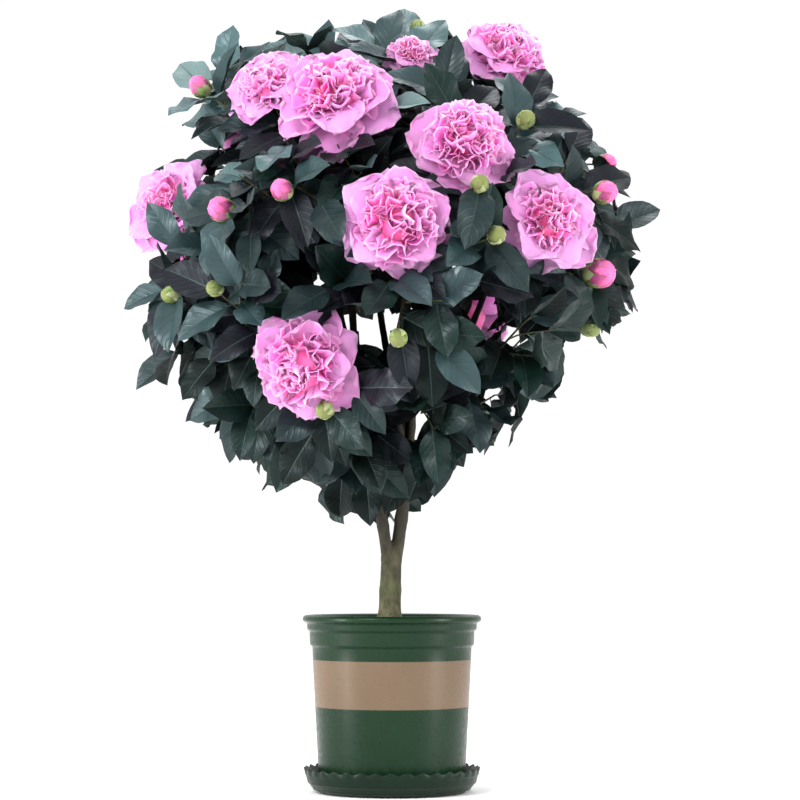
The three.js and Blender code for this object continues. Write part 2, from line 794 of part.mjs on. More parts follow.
/** The leaves of one twig, in steps back from its end. Each takes the turn with the most room. */
function leavesOn(twig, end, index, mass, grown, beads) {
  const draw = chance(index + 500);
  const length = twig.getLength();
  const whorl = WHORLS[end.kind];
  const [side, other] = sideways(twig.getTangent(0));
  const firstTurn = draw() * Math.PI * 2;
  for (let i = 0; i < whorl.leaves; i++) {
    const size = LEAF_LENGTH * (0.78 + 0.26 * draw());
    const back = whorl.back + whorl.step * i;
    const lean = degToRad((i === 0 ? whorl.firstLean : whorl.lean) + 16 * (draw() - 0.5));
    if (back > length - 10) break;
    const base = twig.getPoint(1 - back / length);
    const outward = base.clone().sub(HEART).normalize();
    const droop = outward.z > 0.6 ? 0.05 : -0.3;
    let [best, most] = [null, 0];
    for (let k = 0; k < LEAF_TURNS; k++) {
      const turn = firstTurn + i * GOLDEN_ANGLE + (k / LEAF_TURNS) * Math.PI * 2;
      const lie = twig
        .getTangent(0)
        .multiplyScalar(Math.cos(lean))
        .addScaledVector(side, Math.sin(lean) * Math.cos(turn))
        .addScaledVector(other, Math.sin(lean) * Math.sin(turn))
        .addScaledVector(UP, droop)
        .addScaledVector(outward, 0.15)
        .normalize();
      const leaf = leafAt(base, lie, lightOn(outward), size);
      const room = roomFor(leaf, outward, grown.leaves);
      if (room > most && leafFits(leaf, mass, grown, beads)) [best, most] = [leaf, room];
    }
    if (best) grown.leaves.push(best);
  }
}

/** One mass of foliage, fused: stem, twigs, leaves, buds and blooms. */
function massSolid(mass, bough, beads, limbs) {
  const stem = stemOf(mass, bough);
  const stemRadius = (share) => lerp(STEM_RADIUS, STEM_TIP_RADIUS, share);
  const twigRadius = (share) => lerp(TWIG_RADIUS, TWIG_TIP_RADIUS, share);
  const solids = [solidOf(limbGeometry(stem, stemRadius, 4, STEM_STEPS))];
  const twigs = twigsOn(stem, mass.ends);
  for (const twig of twigs) solids.push(solidOf(limbGeometry(twig, twigRadius, 3, 1)));
  const grown = { leaves: [], twigLines: [] };
  const lines = twigs.map((twig) => [twig.v1, twig.v2]);
  mass.ends.forEach((end, i) => {
    if (end.kind === "bloom") solids.push(solidOf(bloomGeometry(end)));
    if (end.kind === "bud") solids.push(solidOf(budGeometry(end)));
    grown.twigLines = lines.filter((line, other) => other !== i);
    leavesOn(twigs[i], end, MASSES.indexOf(mass) * 40 + i, mass, grown, beads);
  });
  for (const leaf of grown.leaves) solids.push(solidOf(leafGeometry(leaf)));
  return mainBody(wasm.Manifold.union(solids).subtract(limbs).simplify(0.05));
}

// ---------------------------------------------------------------- the whole plant

const plant = new THREE.Group();
plant.name = "camellia_shrub";
plant.add(piece("pot", geometryOf(solidOf(potGeometry())), potPlastic));
plant.add(piece("saucer", geometryOf(solidOf(saucerGeometry())), saucerPlastic));
plant.add(piece("soil", geometryOf(solidOf(soilGeometry())), pottingMix));

const boughs = MASSES.map(boughTo);
const limbs = [trunk, ...leaders, ...boughs];
limbSolids(limbs).forEach((solid, i) => {
  plant.add(piece(limbs[i].name, geometryOf(solid), bark));
});

setOutEnds();
const beads = limbBeads(limbs);
const keepOut = wasm.Manifold.union(limbs.map((limb) => limbSolid(limb, GAP)));
MASSES.forEach((mass, i) => {
  const solid = massSolid(mass, boughs[i], beads, keepOut);
  plant.add(piece("foliage_" + mass.name, geometryOf(solid), foliage));
});

export default plant;
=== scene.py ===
"""The looks of a camellia grown as a small standard: bark, twigs, leaves, blooms and buds round
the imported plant, and the pot, saucer and potting mix that it stands in.

The plant grows by the part's own rule, in millimetres, and is carried on to finer twigs. Meshes
are in metres. +Z is up, the origin is the middle of the saucer's underside, the front is -Y.
A "turn" runs round the upright axis from the front towards the right; a "rise" is above level.
"""

import math

import bmesh
import bpy
import numpy as np
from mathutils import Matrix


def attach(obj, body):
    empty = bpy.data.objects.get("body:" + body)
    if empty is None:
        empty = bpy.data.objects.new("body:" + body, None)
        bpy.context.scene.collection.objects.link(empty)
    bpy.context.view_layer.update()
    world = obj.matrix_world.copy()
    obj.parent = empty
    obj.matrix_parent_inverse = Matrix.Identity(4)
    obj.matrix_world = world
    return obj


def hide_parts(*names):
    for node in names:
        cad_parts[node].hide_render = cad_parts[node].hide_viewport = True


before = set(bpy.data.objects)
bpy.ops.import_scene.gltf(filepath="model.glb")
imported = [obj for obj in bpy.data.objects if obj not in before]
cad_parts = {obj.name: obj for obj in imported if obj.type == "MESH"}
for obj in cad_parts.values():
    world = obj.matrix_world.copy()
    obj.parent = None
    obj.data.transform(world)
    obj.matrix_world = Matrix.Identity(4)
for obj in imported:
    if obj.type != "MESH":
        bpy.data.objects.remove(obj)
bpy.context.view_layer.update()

MM = 0.001
GOLDEN = math.radians(137.508)
UP = np.array([0.0, 0.0, 1.0])
FRONT = np.array([0.0, -1.0, 0.0])
ACROSS = np.array([1.0, 0.0, 0.0])

# ---------------------------------------------------------------- the plant's dimensions, in mm

SOIL_Z = 206
FORK_Z = 300
LEADERS_TOP_Z = 585
LOWEST_BOUGH_Z = 408
HEART = np.array([8.0, 0.0, 636.0])  # middle of the crown
CROWN_RADIUS = 344
STEM_FOOT = 112
STEM_SAG = 150
FORK_STEP = 7
SPRAYS = 84
LOWEST_SPRAY = math.sin(math.radians(-80))
SPRAY_DEPTH = 76
SPRAY_INSET = 14
BLOOM_DEPTH = 48
BUD_DEPTH = 28
CROWDED_BY = {"bloom": 20, "bud": 46, "spray": 56}

LEAF_LENGTH = 84
LEAF_WIDTH = 0.50
LEAF_TURNS = 9
LEAVES_AT_MOST = 6000
ENOUGH_ROOM = 55
FLATNESS = 30
OUTLINE_SLACK = 6
BUD_CLEARANCE = 3
# Each use of chance along the twigs has a run of seeds of its own.
LEAF_RUN, BEND_RUN, SHOOT_RUN = 500, 900, 2500

# (turn, rise, by, spread): the outline swells or falls in round these directions.
SWELLINGS = [
    (276, 48, 42, 42), (84, 44, -44, 24), (78, 68, 24, 26), (84, -40, -124, 60),
    (78, -64, -52, 40), (275, -52, -20, 44), (274, -22, 16, 20), (90, 0, 22, 18),
    (270, 32, -16, 14), (268, -66, -24, 18), (90, -62, -46, 22), (90, -32, -38, 19),
    (88, 22, -14, 12),
]
# (x, z, radius): openings in the leaves from front to back. They climb towards the back.
SKY_GAPS = [
    (-12, 572, 24), (-54, 582, 19), (112, 592, 21), (-88, 636, 14), (26, 453, 20), (152, 568, 18),
    (70, 634, 12), (128, 496, 14), (20, 594, 12), (246, 547, 30), (108, 399, 20), (72, 372, 16),
    (-276, 485, 20), (53, 961, 14), (-115, 377, 14),
]
SKY_GAP_RISE = 0.09

MASSES = {
    "front": (5, -5),
    "front_right": (33, 25),
    "front_left": (327, 30),
    "front_left_low": (325, -31),
    "front_right_low": (39, -42),
    "right": (76, -3),
    "right_top": (83, 50),
    "right_low": (113, -42),
    "right_back": (125, 10),
    "back": (196, 14),
    "back_top": (160, 52),
    "back_low": (164, -21),
    "left_back": (242, 31),
    "left_low": (225, -35),
    "left": (279, 2),
    "top": (300, 75),
}
# (turn, rise, radius, spread, heart, nod): petals spread over a bloom's radius, the heart has its
# share of the spread, and the nod leans the bloom's face to the front.
BLOOMS = [
    (340, 42, 56, 1.42, 0.86, 0.6), (314, 50, 46, 1.24, 0.8, 0.8), (278, 17, 50, 1.44, 0.74, 1.3),
    (0, 7, 52, 1.36, 0.94, 0.3), (17, 27, 50, 1.32, 0.96, 0.5), (37, 9, 51, 1.34, 0.76, 0.9),
    (64, 62, 50, 1.34, 0.9, 0.8), (336, -25, 53, 1.36, 0.96, 0.4), (8, 60, 36, 1.0, 0.9, 0.6),
    (120, 22, 50, 1.28, 0.92, 0), (152, 54, 50, 1.28, 0.96, 0), (160, -4, 50, 1.28, 0.9, 0),
    (196, 28, 50, 1.28, 0.96, 0), (207, -28, 50, 1.28, 0.92, 0), (240, 8, 50, 1.28, 0.9, 0),
    (244, 46, 50, 1.28, 0.96, 0),
]
# (turn, rise, radius)
BUDS = [
    (292, 42, 13), (318, 11, 15), (52, -2, 18), (57, 14, 14), (34, 32, 11), (334, 14, 13),
    (300, -6, 11), (317, -6, 10), (0, -18, 11), (341, -34, 11), (17, 14, 11), (21, 4, 11),
    (14, 72, 10), (95, 30, 13), (172, 34, 14), (184, -14, 11), (216, 24, 12), (228, -12, 15),
    (100, -14, 12),
]
# Leafy twig ends that have their own places. The rest come between them.
SHOOTS = [
    (284, 70), (273, 50), (268, 30), (270, -4), (272, -22), (88, -1), (88, 30), (4, -38),
    (20, -60), (340, -64), (350, 22), (306, 4), (345, -50), (8, -72),
]

# ---------------------------------------------------------------- directions and chance


def heading(turn, rise):
    """Unit vector with a turn round the upright axis and a rise above the level, in degrees."""
    t, r = math.radians(turn), math.radians(rise)
    return np.array([math.sin(t) * math.cos(r), -math.cos(t) * math.cos(r), math.sin(r)])


def chance(seed):
    """Seeded chance: the same run of numbers from 0 to 1 every time."""
    state = (seed * 7919 + 12345) % 2**32

    def draw():
        nonlocal state
        state = (state * 1664525 + 1013904223) % 2**32
        return state / 2**32

    draw()
    return draw


def unit(v):
    return v / max(np.linalg.norm(v), 1e-12)


def mix(a, b, share):
    return a + (b - a) * share


def clamp(x, low, high):
    return max(low, min(high, x))


def sideways(axis):
    """Two directions square to an axis, the same ones each time."""
    reference = ACROSS if abs(axis[2]) > 0.9 else UP
    side = unit(np.cross(reference, axis))
    return side, np.cross(axis, side)


def beside(axis, turn):
    """A direction square to an axis, at a turn round it."""
    side, other = sideways(axis)
    return side * math.cos(turn) + other * math.sin(turn)


SWELLING_WAYS = np.array([heading(turn, rise) for turn, rise, _, _ in SWELLINGS])
SWELLING_BY = np.array([by for _, _, by, _ in SWELLINGS], float)
SWELLING_SPREAD = np.radians([spread for _, _, _, spread in SWELLINGS])


def crown_reach(ways):
    """How far the crown reaches from its heart in each direction."""
    angles = np.arccos(np.clip(ways @ SWELLING_WAYS.T, -1, 1))
    share = np.minimum(1, angles / SWELLING_SPREAD)
    return CROWN_RADIUS + (SWELLING_BY * 0.5 * (1 + np.cos(np.pi * share))).sum(-1)


def depth_of(points):
    """How far points lie inside the crown's outline."""
    out = points - HEART
    far = np.linalg.norm(out, axis=-1)
    return crown_reach(out / far[..., None]) - far


def bezier(*control):
    """A curve through its first and last control point, as a function of the share along it."""

    def at(share):
        points = list(control)
        while len(points) > 1:
            points = [mix(a, b, share) for a, b in zip(points, points[1:])]
        return points[0]

    return at


def tangent(curve, share):
    low, high = max(0, share - 1e-4), min(1, share + 1e-4)
    return unit(curve(high) - curve(low))


# ---------------------------------------------------------------- the skeleton


def rising(foot, lower, upper, top):
    """A curve whose height grows evenly from its first point to its last."""
    foot, top = np.array(foot, float), np.array(top, float)
    return bezier(
        foot,
        np.array([*lower, mix(foot[2], top[2], 1 / 3)]),
        np.array([*upper, mix(foot[2], top[2], 2 / 3)]),
        top,
    )


LEADERS = [
    (rising((-5, -6, FORK_Z - 16), (-16, -5), (-44, -10), (-46, -6, LEADERS_TOP_Z - 12)), 7.6, 4.8),
    (rising((5, 1, FORK_Z - 8), (20, 2), (28, -12), (26, -14, LEADERS_TOP_Z)), 8.4, 5.2),
    (rising((15, 0, FORK_Z + 64), (8, 26), (4, 44), (2, 46, LEADERS_TOP_Z - 6)), 6.0, 4.8),
]
TRUNK = rising((-3, 0, SOIL_Z - 6), (-3, 0), (-1, 1), (0, 0, FORK_Z + 4))


class Limb:
    """A limb as points down its middle, with its radius at each."""

    def __init__(self, points, girths):
        self.points = np.array(points, float)
        self.girths = np.array(girths, float)

    @classmethod
    def along(cls, curve, girth_at, count):
        shares = np.linspace(0, 1, count)
        return cls([curve(s) for s in shares], [girth_at(s) for s in shares])


class Mass:
    """A mass of foliage: its direction from the heart, its bough's tip and its twig ends."""

    def __init__(self, name, turn, rise):
        self.name = name
        self.axis = heading(turn, rise)
        self.foot = HEART + self.axis * STEM_FOOT
        self.foot[2] -= STEM_SAG * max(0, -self.axis[2])
        self.ends = []

    def pulled_inside(self, at, margin, sides):
        """A place moved until it lies a margin inside the planes between this mass and others."""
        moved = at.copy()
        for _ in range(12):
            for side in sides:
                short = margin - (moved - HEART) @ side
                if short > 0:
                    moved += side * (short + 0.05)
        return moved


class End:
    """Where a twig ends, in a bloom, a bud or a spray of leaves."""

    def __init__(self, kind, radius, mass, at):
        self.kind, self.radius, self.mass, self.at = kind, radius, mass, at
        self.way = unit(at - HEART)
        self.facing = self.way


masses = [Mass(name, *way) for name, way in MASSES.items()]
LOWEST_MASS = min(mass.axis[2] for mass in masses)
HIGHEST_MASS = max(mass.axis[2] for mass in masses)


def bough_to(mass):
    """The bough of a mass: it leaves the nearest leader and climbs to the foot of its stem."""
    share = (mass.axis[2] - LOWEST_MASS) / (HIGHEST_MASS - LOWEST_MASS)
    z = mix(LOWEST_BOUGH_Z, LEADERS_TOP_Z - 22, share)
    starts = []
    for curve, _, _ in LEADERS:
        foot, head = curve(0)[2], curve(1)[2]
        starts.append(curve(clamp((z - foot) / (head - foot), 0.08, 0.94)))
    root = min(starts, key=lambda start: np.linalg.norm(start - mass.foot))
    bend = mix(root, mass.foot, 0.5)
    bend[:2] += mass.axis[:2] * np.linalg.norm(root - mass.foot) * 0.12
    return bezier(root, bend, mass.foot)


def set_out_ends():
    """Blooms, buds and shoots in their places, and leafy ends evenly between them."""
    ends = []

    def add(kind, turn, rise, depth, radius, inset):
        way = heading(turn, rise)
        mass = max(masses, key=lambda m: m.axis @ way)
        sides = [unit(mass.axis - other.axis) for other in masses if other is not mass]
        at = HEART + way * (crown_reach(way) - depth)
        end = End(kind, radius, mass, mass.pulled_inside(at, inset, sides))
        mass.ends.append(end)
        ends.append(end)

    for turn, rise, radius, *_ in BLOOMS:
        add("bloom", turn, rise, BLOOM_DEPTH, radius, radius + 3)
    for turn, rise, radius in BUDS:
        add("bud", turn, rise, BUD_DEPTH, radius, radius + 6)
    for turn, rise in SHOOTS:
        add("spray", turn, rise, SPRAY_DEPTH, 0, SPRAY_INSET)
    placed = list(ends)
    for i in range(SPRAYS):
        z = 1 - (2 * i + 1) / SPRAYS
        if z < LOWEST_SPRAY:
            continue
        turn, rise = math.degrees(i * GOLDEN) % 360, math.degrees(math.asin(z))
        way = heading(turn, rise)
        crowded = any(
            np.linalg.norm(end.at - HEART - way * np.linalg.norm(end.at - HEART))
            < end.radius + CROWDED_BY[end.kind]
            for end in placed
        )
        if not crowded:
            add("spray", turn, rise, SPRAY_DEPTH * (0.9 + 0.35 * chance(i)()), 0, SPRAY_INSET)
    return ends


def stem_of(mass, bough):
    away = tangent(bough, 1)
    head = mix(mass.foot, np.mean([end.at for end in mass.ends], axis=0), 0.62)
    return bezier(mass.foot, mass.foot + away * np.linalg.norm(head - mass.foot) * 0.4, head)


def twigs_on(stem, ends):
    """A twig from the stem to each end. They fork off one by one, at about 45 degrees."""
    foot, chord = stem(0), stem(1) - stem(0)
    length = np.linalg.norm(chord)
    chord = chord / length
    shares = []
    for end in ends:
        reach = end.at - foot
        forward = reach @ chord
        aside = np.linalg.norm(reach - chord * forward)
        shares.append((forward - aside) / length)
    last, roots = 1.0, {}
    for i in sorted(range(len(ends)), key=lambda i: -shares[i]):
        last = max(0.06, min(shares[i], last - FORK_STEP / length))
        roots[i] = stem(last)
    twigs = []
    for i, end in enumerate(ends):
        head = end.at - end.way * 0.2 * end.radius if end.kind == "bloom" else end.at
        twigs.append(bowed(roots[i], head, twig_chance(end.mass, i, BEND_RUN)))
    return twigs


def twig_chance(mass, i, run):
    return chance(masses.index(mass) * 40 + i + run)


def bowed(root, head, draw, share=0.07):
    """A twig that isn't quite straight."""
    turn = draw() * 2 * math.pi
    far = np.linalg.norm(head - root) * share
    aside = beside(unit(head - root), turn) * far * (0.5 + draw())
    return bezier(root, mix(root, head, 0.33) + aside, mix(root, head, 0.7) - aside * 0.6, head)


# ---------------------------------------------------------------- where leaves may lie


def pierced(lines, faces):
    """True where a line, given by its ends, passes through a triangle."""
    a, way = lines[..., 0, :], lines[..., 1, :] - lines[..., 0, :]
    p, q, r = (faces[..., corner, :] for corner in range(3))
    one, two = q - p, r - p
    h = np.cross(way, two)
    det = (one * h).sum(-1)
    det = np.where(np.abs(det) < 1e-9, 1e-9, det)
    s = a - p
    u = (s * h).sum(-1) / det
    k = np.cross(s, one)
    v = (way * k).sum(-1) / det
    t = (two * k).sum(-1) / det
    return (u >= 0) & (v >= 0) & (u + v <= 1) & (t >= 0) & (t <= 1)


class Leaf:
    """A leaf: its base, its lie, the way its face looks, and its size."""

    def __init__(self, base, along, face, length):
        self.base, self.along, self.length = base, along, length
        self.up = unit(face - along * (face @ along))
        across = np.cross(along, self.up) * length * LEAF_WIDTH / 2
        self.middle = base + along * length * 0.45
        edges = self.middle + self.up * length * 0.07
        left, right = edges - across, edges + across
        tip = base + along * length - self.up * length * 0.04
        inner = base + along * length * 0.2
        self.samples = np.array(
            [left, right, tip, self.middle, mix(inner, left, 0.4), mix(left, tip, 0.5)]
            + [mix(inner, right, 0.4), mix(right, tip, 0.5)]
        )
        self.faces = np.array([[inner, left, tip], [inner, tip, right]])
        self.lines = np.array(
            [[inner, left], [left, tip], [tip, right], [right, inner], [inner, tip]]
        )


class Canopy:
    """Every leaf that has grown so far, and what leaves must keep clear of."""

    def __init__(self, ends, limbs):
        self.count = 0
        self.middles = np.zeros((LEAVES_AT_MOST, 3))
        self.faces = np.zeros((LEAVES_AT_MOST, 2, 3, 3))
        self.lines = np.zeros((LEAVES_AT_MOST, 5, 2, 3))
        self.leaves = []
        self.blooms = [end for end in ends if end.kind == "bloom"]
        self.buds = [end for end in ends if end.kind == "bud"]
        self.beads = np.concatenate([limb.points for limb in limbs])
        self.bead_radii = np.concatenate([limb.girths for limb in limbs])

    def clear(self, points, from_bark=6):
        """True if no point lies in a bloom or bud, before a bloom's face, or in a limb or gap."""
        for end in self.blooms:
            out = points - end.at
            height = out @ end.facing
            wide = np.linalg.norm(out - height[:, None] * end.facing, axis=-1)
            if np.any((height > -0.12 * end.spread) & (wide < end.spread * 0.9)):
                return False
        for end in self.buds:
            if np.any(np.linalg.norm(points - end.at, axis=-1) < end.radius * 1.2 + BUD_CLEARANCE):
                return False
        for x, z, radius in SKY_GAPS:
            height = points[:, 2] - z - SKY_GAP_RISE * points[:, 1]
            if np.any(np.hypot(points[:, 0] - x, height) < radius):
                return False
        far = np.linalg.norm(points[:, None] - self.beads[None], axis=-1)
        return not np.any(far < self.bead_radii + from_bark)

    def room(self, at):
        if not self.count:
            return 1e3
        return np.linalg.norm(self.middles[: self.count] - at, axis=-1).min()

    def crossed(self, leaf):
        far = np.linalg.norm(self.middles[: self.count] - leaf.middle, axis=-1)
        near = np.nonzero(far < LEAF_LENGTH * 1.05)[0]
        if not len(near):
            return False
        mine = leaf.lines[:, None], self.faces[near].reshape(1, -1, 3, 3)
        theirs = self.lines[near].reshape(-1, 1, 2, 3), leaf.faces[None]
        return any(pierced(lines, faces).any() for lines, faces in (mine, theirs))

    def fits(self, leaf):
        if depth_of(leaf.samples).min() < -OUTLINE_SLACK:
            return False
        return self.clear(leaf.samples) and not self.crossed(leaf)

    def add(self, leaf, mass):
        i = self.count
        self.middles[i], self.faces[i], self.lines[i] = leaf.middle, leaf.faces, leaf.lines
        leaf.mass = mass
        self.leaves.append(leaf)
        self.count += 1


# How many leaves, how far the first is behind the end, the steps between, and how they lean.
WHORLS = {
    "spray": (7, 0, 11, 18, 62),
    "bud": (6, 14, 11, 50, 66),
    "bloom": (5, 10, 9, 78, 76),
    "side": (5, 0, 11, 20, 60),
}


def leaves_on(twig, length, kind, draw, mass, canopy, size=1.0):
    """The leaves of one twig, in steps back from its end. Each takes the turn with most room."""
    count, first_back, step, first_lean, lean = WHORLS[kind]
    first_turn = draw() * 2 * math.pi
    for i in range(count):
        long = LEAF_LENGTH * size * (0.80 + 0.26 * draw())
        back = first_back + step * i
        leaning = math.radians((first_lean if i == 0 else lean) + 18 * (draw() - 0.5))
        swing = draw() - 0.5
        if back > length - 6:
            break
        share = 1 - back / length
        base = twig(share)
        along = tangent(twig, share)
        outward = unit(base - HEART)
        droop = 0.02 if outward[2] > 0.6 else -0.34
        light = outward * 0.6 + UP * 0.35 + FRONT * 0.4 + sideways(along)[0] * swing * 0.5
        best, most = None, 0
        for k in range(LEAF_TURNS):
            turn = first_turn + i * GOLDEN + k / LEAF_TURNS * 2 * math.pi
            lie = unit(
                along * math.cos(leaning)
                + beside(along, turn) * math.sin(leaning)
                + UP * droop
                + outward * 0.15
            )
            leaf = Leaf(base, lie, light, long)
            room = min(ENOUGH_ROOM, canopy.room(leaf.middle))
            room += FLATNESS * abs(leaf.up @ outward)
            if room > most and canopy.fits(leaf):
                best, most = leaf, room
        if best is not None:
            canopy.add(best, mass)


def side_shoots(twig, length, kind, draw, canopy):
    """Short shoots back along a twig. Each takes the way with the most room for its leaves."""
    shoots = []
    first = {"spray": 40, "bud": 44, "bloom": 46}[kind]
    back = first + 10 * draw()
    turn = draw() * 2 * math.pi
    while back < length - 8 and len(shoots) < 4:
        share = 1 - back / length
        root, along = twig(share), tangent(twig, share)
        reach = 46 + 26 * draw()
        best, most = None, 24
        for k in range(8):
            way = beside(along, turn + k * GOLDEN)
            head = root + unit(along * 0.75 + way + UP * 0.15) * reach
            samples = np.array([head, mix(root, head, 0.6)])
            if depth_of(samples).min() < 30 or not canopy.clear(samples, 2):
                continue
            room = canopy.room(head + unit(head - root) * 25)
            if room > most:
                best, most = head, room
        if best is not None:
            shoots.append(bowed(root, best, draw))
        back += 24 + 10 * draw()
        turn += GOLDEN
    return shoots


def length_of(curve, steps=8):
    points = [curve(s) for s in np.linspace(0, 1, steps + 1)]
    return sum(np.linalg.norm(b - a) for a, b in zip(points, points[1:]))


# ---------------------------------------------------------------- the whole plant


def trunk_girth(share):
    height = share * (FORK_Z + 10 - SOIL_Z) - 6
    flare = 5.0 * clamp(1 - height / 26, 0, 1) ** 2
    knuckle = 1.1 * math.exp(-(((height - 86) / 7) ** 2))
    knuckle += 0.7 * math.exp(-(((height - 44) / 5) ** 2))
    shoulder = 1 - 0.45 * clamp((share - 0.86) / 0.14, 0, 1) ** 2
    return (mix(14.6, 12.4, share) + flare + knuckle) * shoulder


def tapered(start, finish, knuckles=(), swell=0.9):
    """A radius that tapers along a limb and swells a little where twigs have grown."""

    def at(share):
        bumps = sum(math.exp(-(((share - k) / 0.02) ** 2)) for k in knuckles)
        return mix(start, finish, share) + swell * bumps

    return at


timber = [Limb.along(TRUNK, trunk_girth, 28)]
for curve, start, finish in LEADERS:
    timber.append(Limb.along(curve, tapered(start, finish, (0.16, 0.34, 0.55, 0.72)), 46))
boughs = [bough_to(mass) for mass in masses]
for bough in boughs:
    timber.append(Limb.along(bough, tapered(5.0, 3.9, (0.4, 0.75), 0.5), 20))

ends = set_out_ends()
for end, (*_, spread, heart, nod) in zip(ends, BLOOMS):
    end.spread, end.heart = end.radius * spread, heart
    end.facing = unit(end.way + FRONT * nod)
canopy = Canopy(ends, timber)
twiggery = []
twig_of = {}
for mass, bough in zip(masses, boughs):
    stem = stem_of(mass, bough)
    twiggery.append(Limb.along(stem, tapered(3.9, 2.6, (0.5,), 0.3), 12))
    for end, twig in zip(mass.ends, twigs_on(stem, mass.ends)):
        twig_of[end] = twig
        thick = 1.9 if end.kind == "bloom" else 1.7
        twiggery.append(Limb.along(twig, tapered(thick, 1.15), 12))

for mass in masses:
    for i, end in enumerate(mass.ends):
        twig = twig_of[end]
        draw = twig_chance(mass, i, LEAF_RUN)
        leaves_on(twig, length_of(twig), end.kind, draw, mass, canopy)
for mass in masses:
    for i, end in enumerate(mass.ends):
        twig = twig_of[end]
        draw = twig_chance(mass, i, SHOOT_RUN)
        for shoot in side_shoots(twig, length_of(twig), end.kind, draw, canopy):
            before = canopy.count
            leaves_on(shoot, length_of(shoot), "side", draw, mass, canopy, 0.92)
            if canopy.count > before:
                twiggery.append(Limb.along(shoot, tapered(1.2, 0.8), 7))

# ---------------------------------------------------------------- nodes


class Nodes:
    """A node tree under construction. What adds a node gives one of its outputs."""

    def __init__(self, tree):
        self.tree = tree

    def add(self, kind, wires=None, output=0, **settings):
        """Adds a node. Each wire gives an input, by name or number, a value or a link."""
        node = self.tree.nodes.new(kind)
        for key, value in settings.items():
            setattr(node, key, value)
        for socket, value in (wires or {}).items():
            if isinstance(value, bpy.types.NodeSocket):
                self.tree.links.new(value, node.inputs[socket])
            else:
                node.inputs[socket].default_value = value
        return node.outputs[output]

    def math(self, operation, a, b=0.0):
        return self.add("ShaderNodeMath", {0: a, 1: b}, operation=operation)

    def height_of(self, vector):
        return self.add("ShaderNodeSeparateXYZ", {0: vector}, "Z")


class Recipe(Nodes):
    """A Geometry Nodes tree with its named inputs, each with its first value."""

    def __init__(self, name, **inputs):
        super().__init__(bpy.data.node_groups.new(name, "GeometryNodeTree"))
        self.socket("Geometry", "OUTPUT", "Geometry")
        self.socket("Geometry", "INPUT", "Geometry")
        for label, (kind, value) in inputs.items():
            self.socket(label.replace("_", " "), "INPUT", kind).default_value = value
        self.given = self.tree.nodes.new("NodeGroupInput").outputs

    def socket(self, name, side, kind):
        sockets = self.tree.interface
        return sockets.new_socket(name, in_out=side, socket_type="NodeSocket" + kind)

    def layer(self, name, kind="FLOAT"):
        """A named layer of the mesh."""
        return self.add(
            "GeometryNodeInputNamedAttribute", {"Name": name}, "Attribute", data_type=kind
        )

    def same(self, field, number):
        """True where a whole-number field has a value."""
        wires = {2: field, 3: number}
        return self.add("FunctionNodeCompare", wires, data_type="INT", operation="EQUAL")

    def copies(self, points, shapes, which, turn, size):
        """On each point a copy of one of a collection's members, picked by its order."""
        wires = {"Collection": shapes, "Separate Children": True, "Reset Children": True}
        picked = self.add("GeometryNodeCollectionInfo", wires)
        wires = {
            "Points": points,
            "Instance": picked,
            "Pick Instance": True,
            "Instance Index": which,
            "Rotation": turn,
            "Scale": size,
        }
        return self.add("GeometryNodeInstanceOnPoints", wires)

    def end(self, geometry, materials=()):
        """Ends the tree: copies made real, and each material on the faces it is chosen for."""
        geometry = self.add("GeometryNodeRealizeInstances", {"Geometry": geometry})
        for material, chosen in materials:
            wires = {"Geometry": geometry, "Material": material, "Selection": chosen}
            geometry = self.add("GeometryNodeSetMaterial", wires)
        self.tree.links.new(geometry, self.tree.nodes.new("NodeGroupOutput").inputs[0])
        return self.tree


WORKING_LAYERS = ("lie", "face", "size", "pattern", "tone", "part", "girth")


def grown(obj, tree, **values):
    """Puts a recipe on an object, with its inputs, and turns the result into a plain mesh."""
    modifier = obj.modifiers.new(tree.name, "NODES")
    modifier.node_group = tree
    for item in tree.interface.items_tree:
        if item.in_out == "INPUT" and item.name in values:
            modifier[item.identifier] = values[item.name]
    return settled(obj)


def settled(obj):
    """What an object's modifiers make of it, as its own plain mesh."""
    graph = bpy.context.evaluated_depsgraph_get()
    mesh = bpy.data.meshes.new_from_object(
        obj.evaluated_get(graph), preserve_all_data_layers=True, depsgraph=graph
    )
    obj.modifiers.clear()
    spent = obj.data
    obj.data = mesh
    mesh.name = obj.name
    bpy.data.meshes.remove(spent)
    for layer in [a.name for a in mesh.attributes if a.name in WORKING_LAYERS]:
        mesh.attributes.remove(mesh.attributes[layer])
    return obj


def new_object(name, data, collection=None):
    obj = bpy.data.objects.new(name, data)
    (collection or bpy.context.scene.collection).objects.link(obj)
    return obj


def mesh_of(name, points, edges=(), faces=()):
    mesh = bpy.data.meshes.new(name)
    mesh.from_pydata(*([tuple(item) for item in items] for items in (points, edges, faces)))
    return mesh


def put_layer(mesh, name, kind, values):
    layer = mesh.attributes.new(name, kind, "POINT")
    key = "vector" if kind == "FLOAT_VECTOR" else "value"
    dtype = np.int32 if kind == "INT" else np.float32
    layer.data.foreach_set(key, np.array(values, dtype).ravel())


# ---------------------------------------------------------------- materials


def linear(*colour):
    """A colour given as it looks, 0 to 255, as the shader's linear one."""
    shares = [c / 255 for c in colour]
    return (*(c / 12.92 if c <= 0.04045 else ((c + 0.055) / 1.055) ** 2.4 for c in shares), 1)


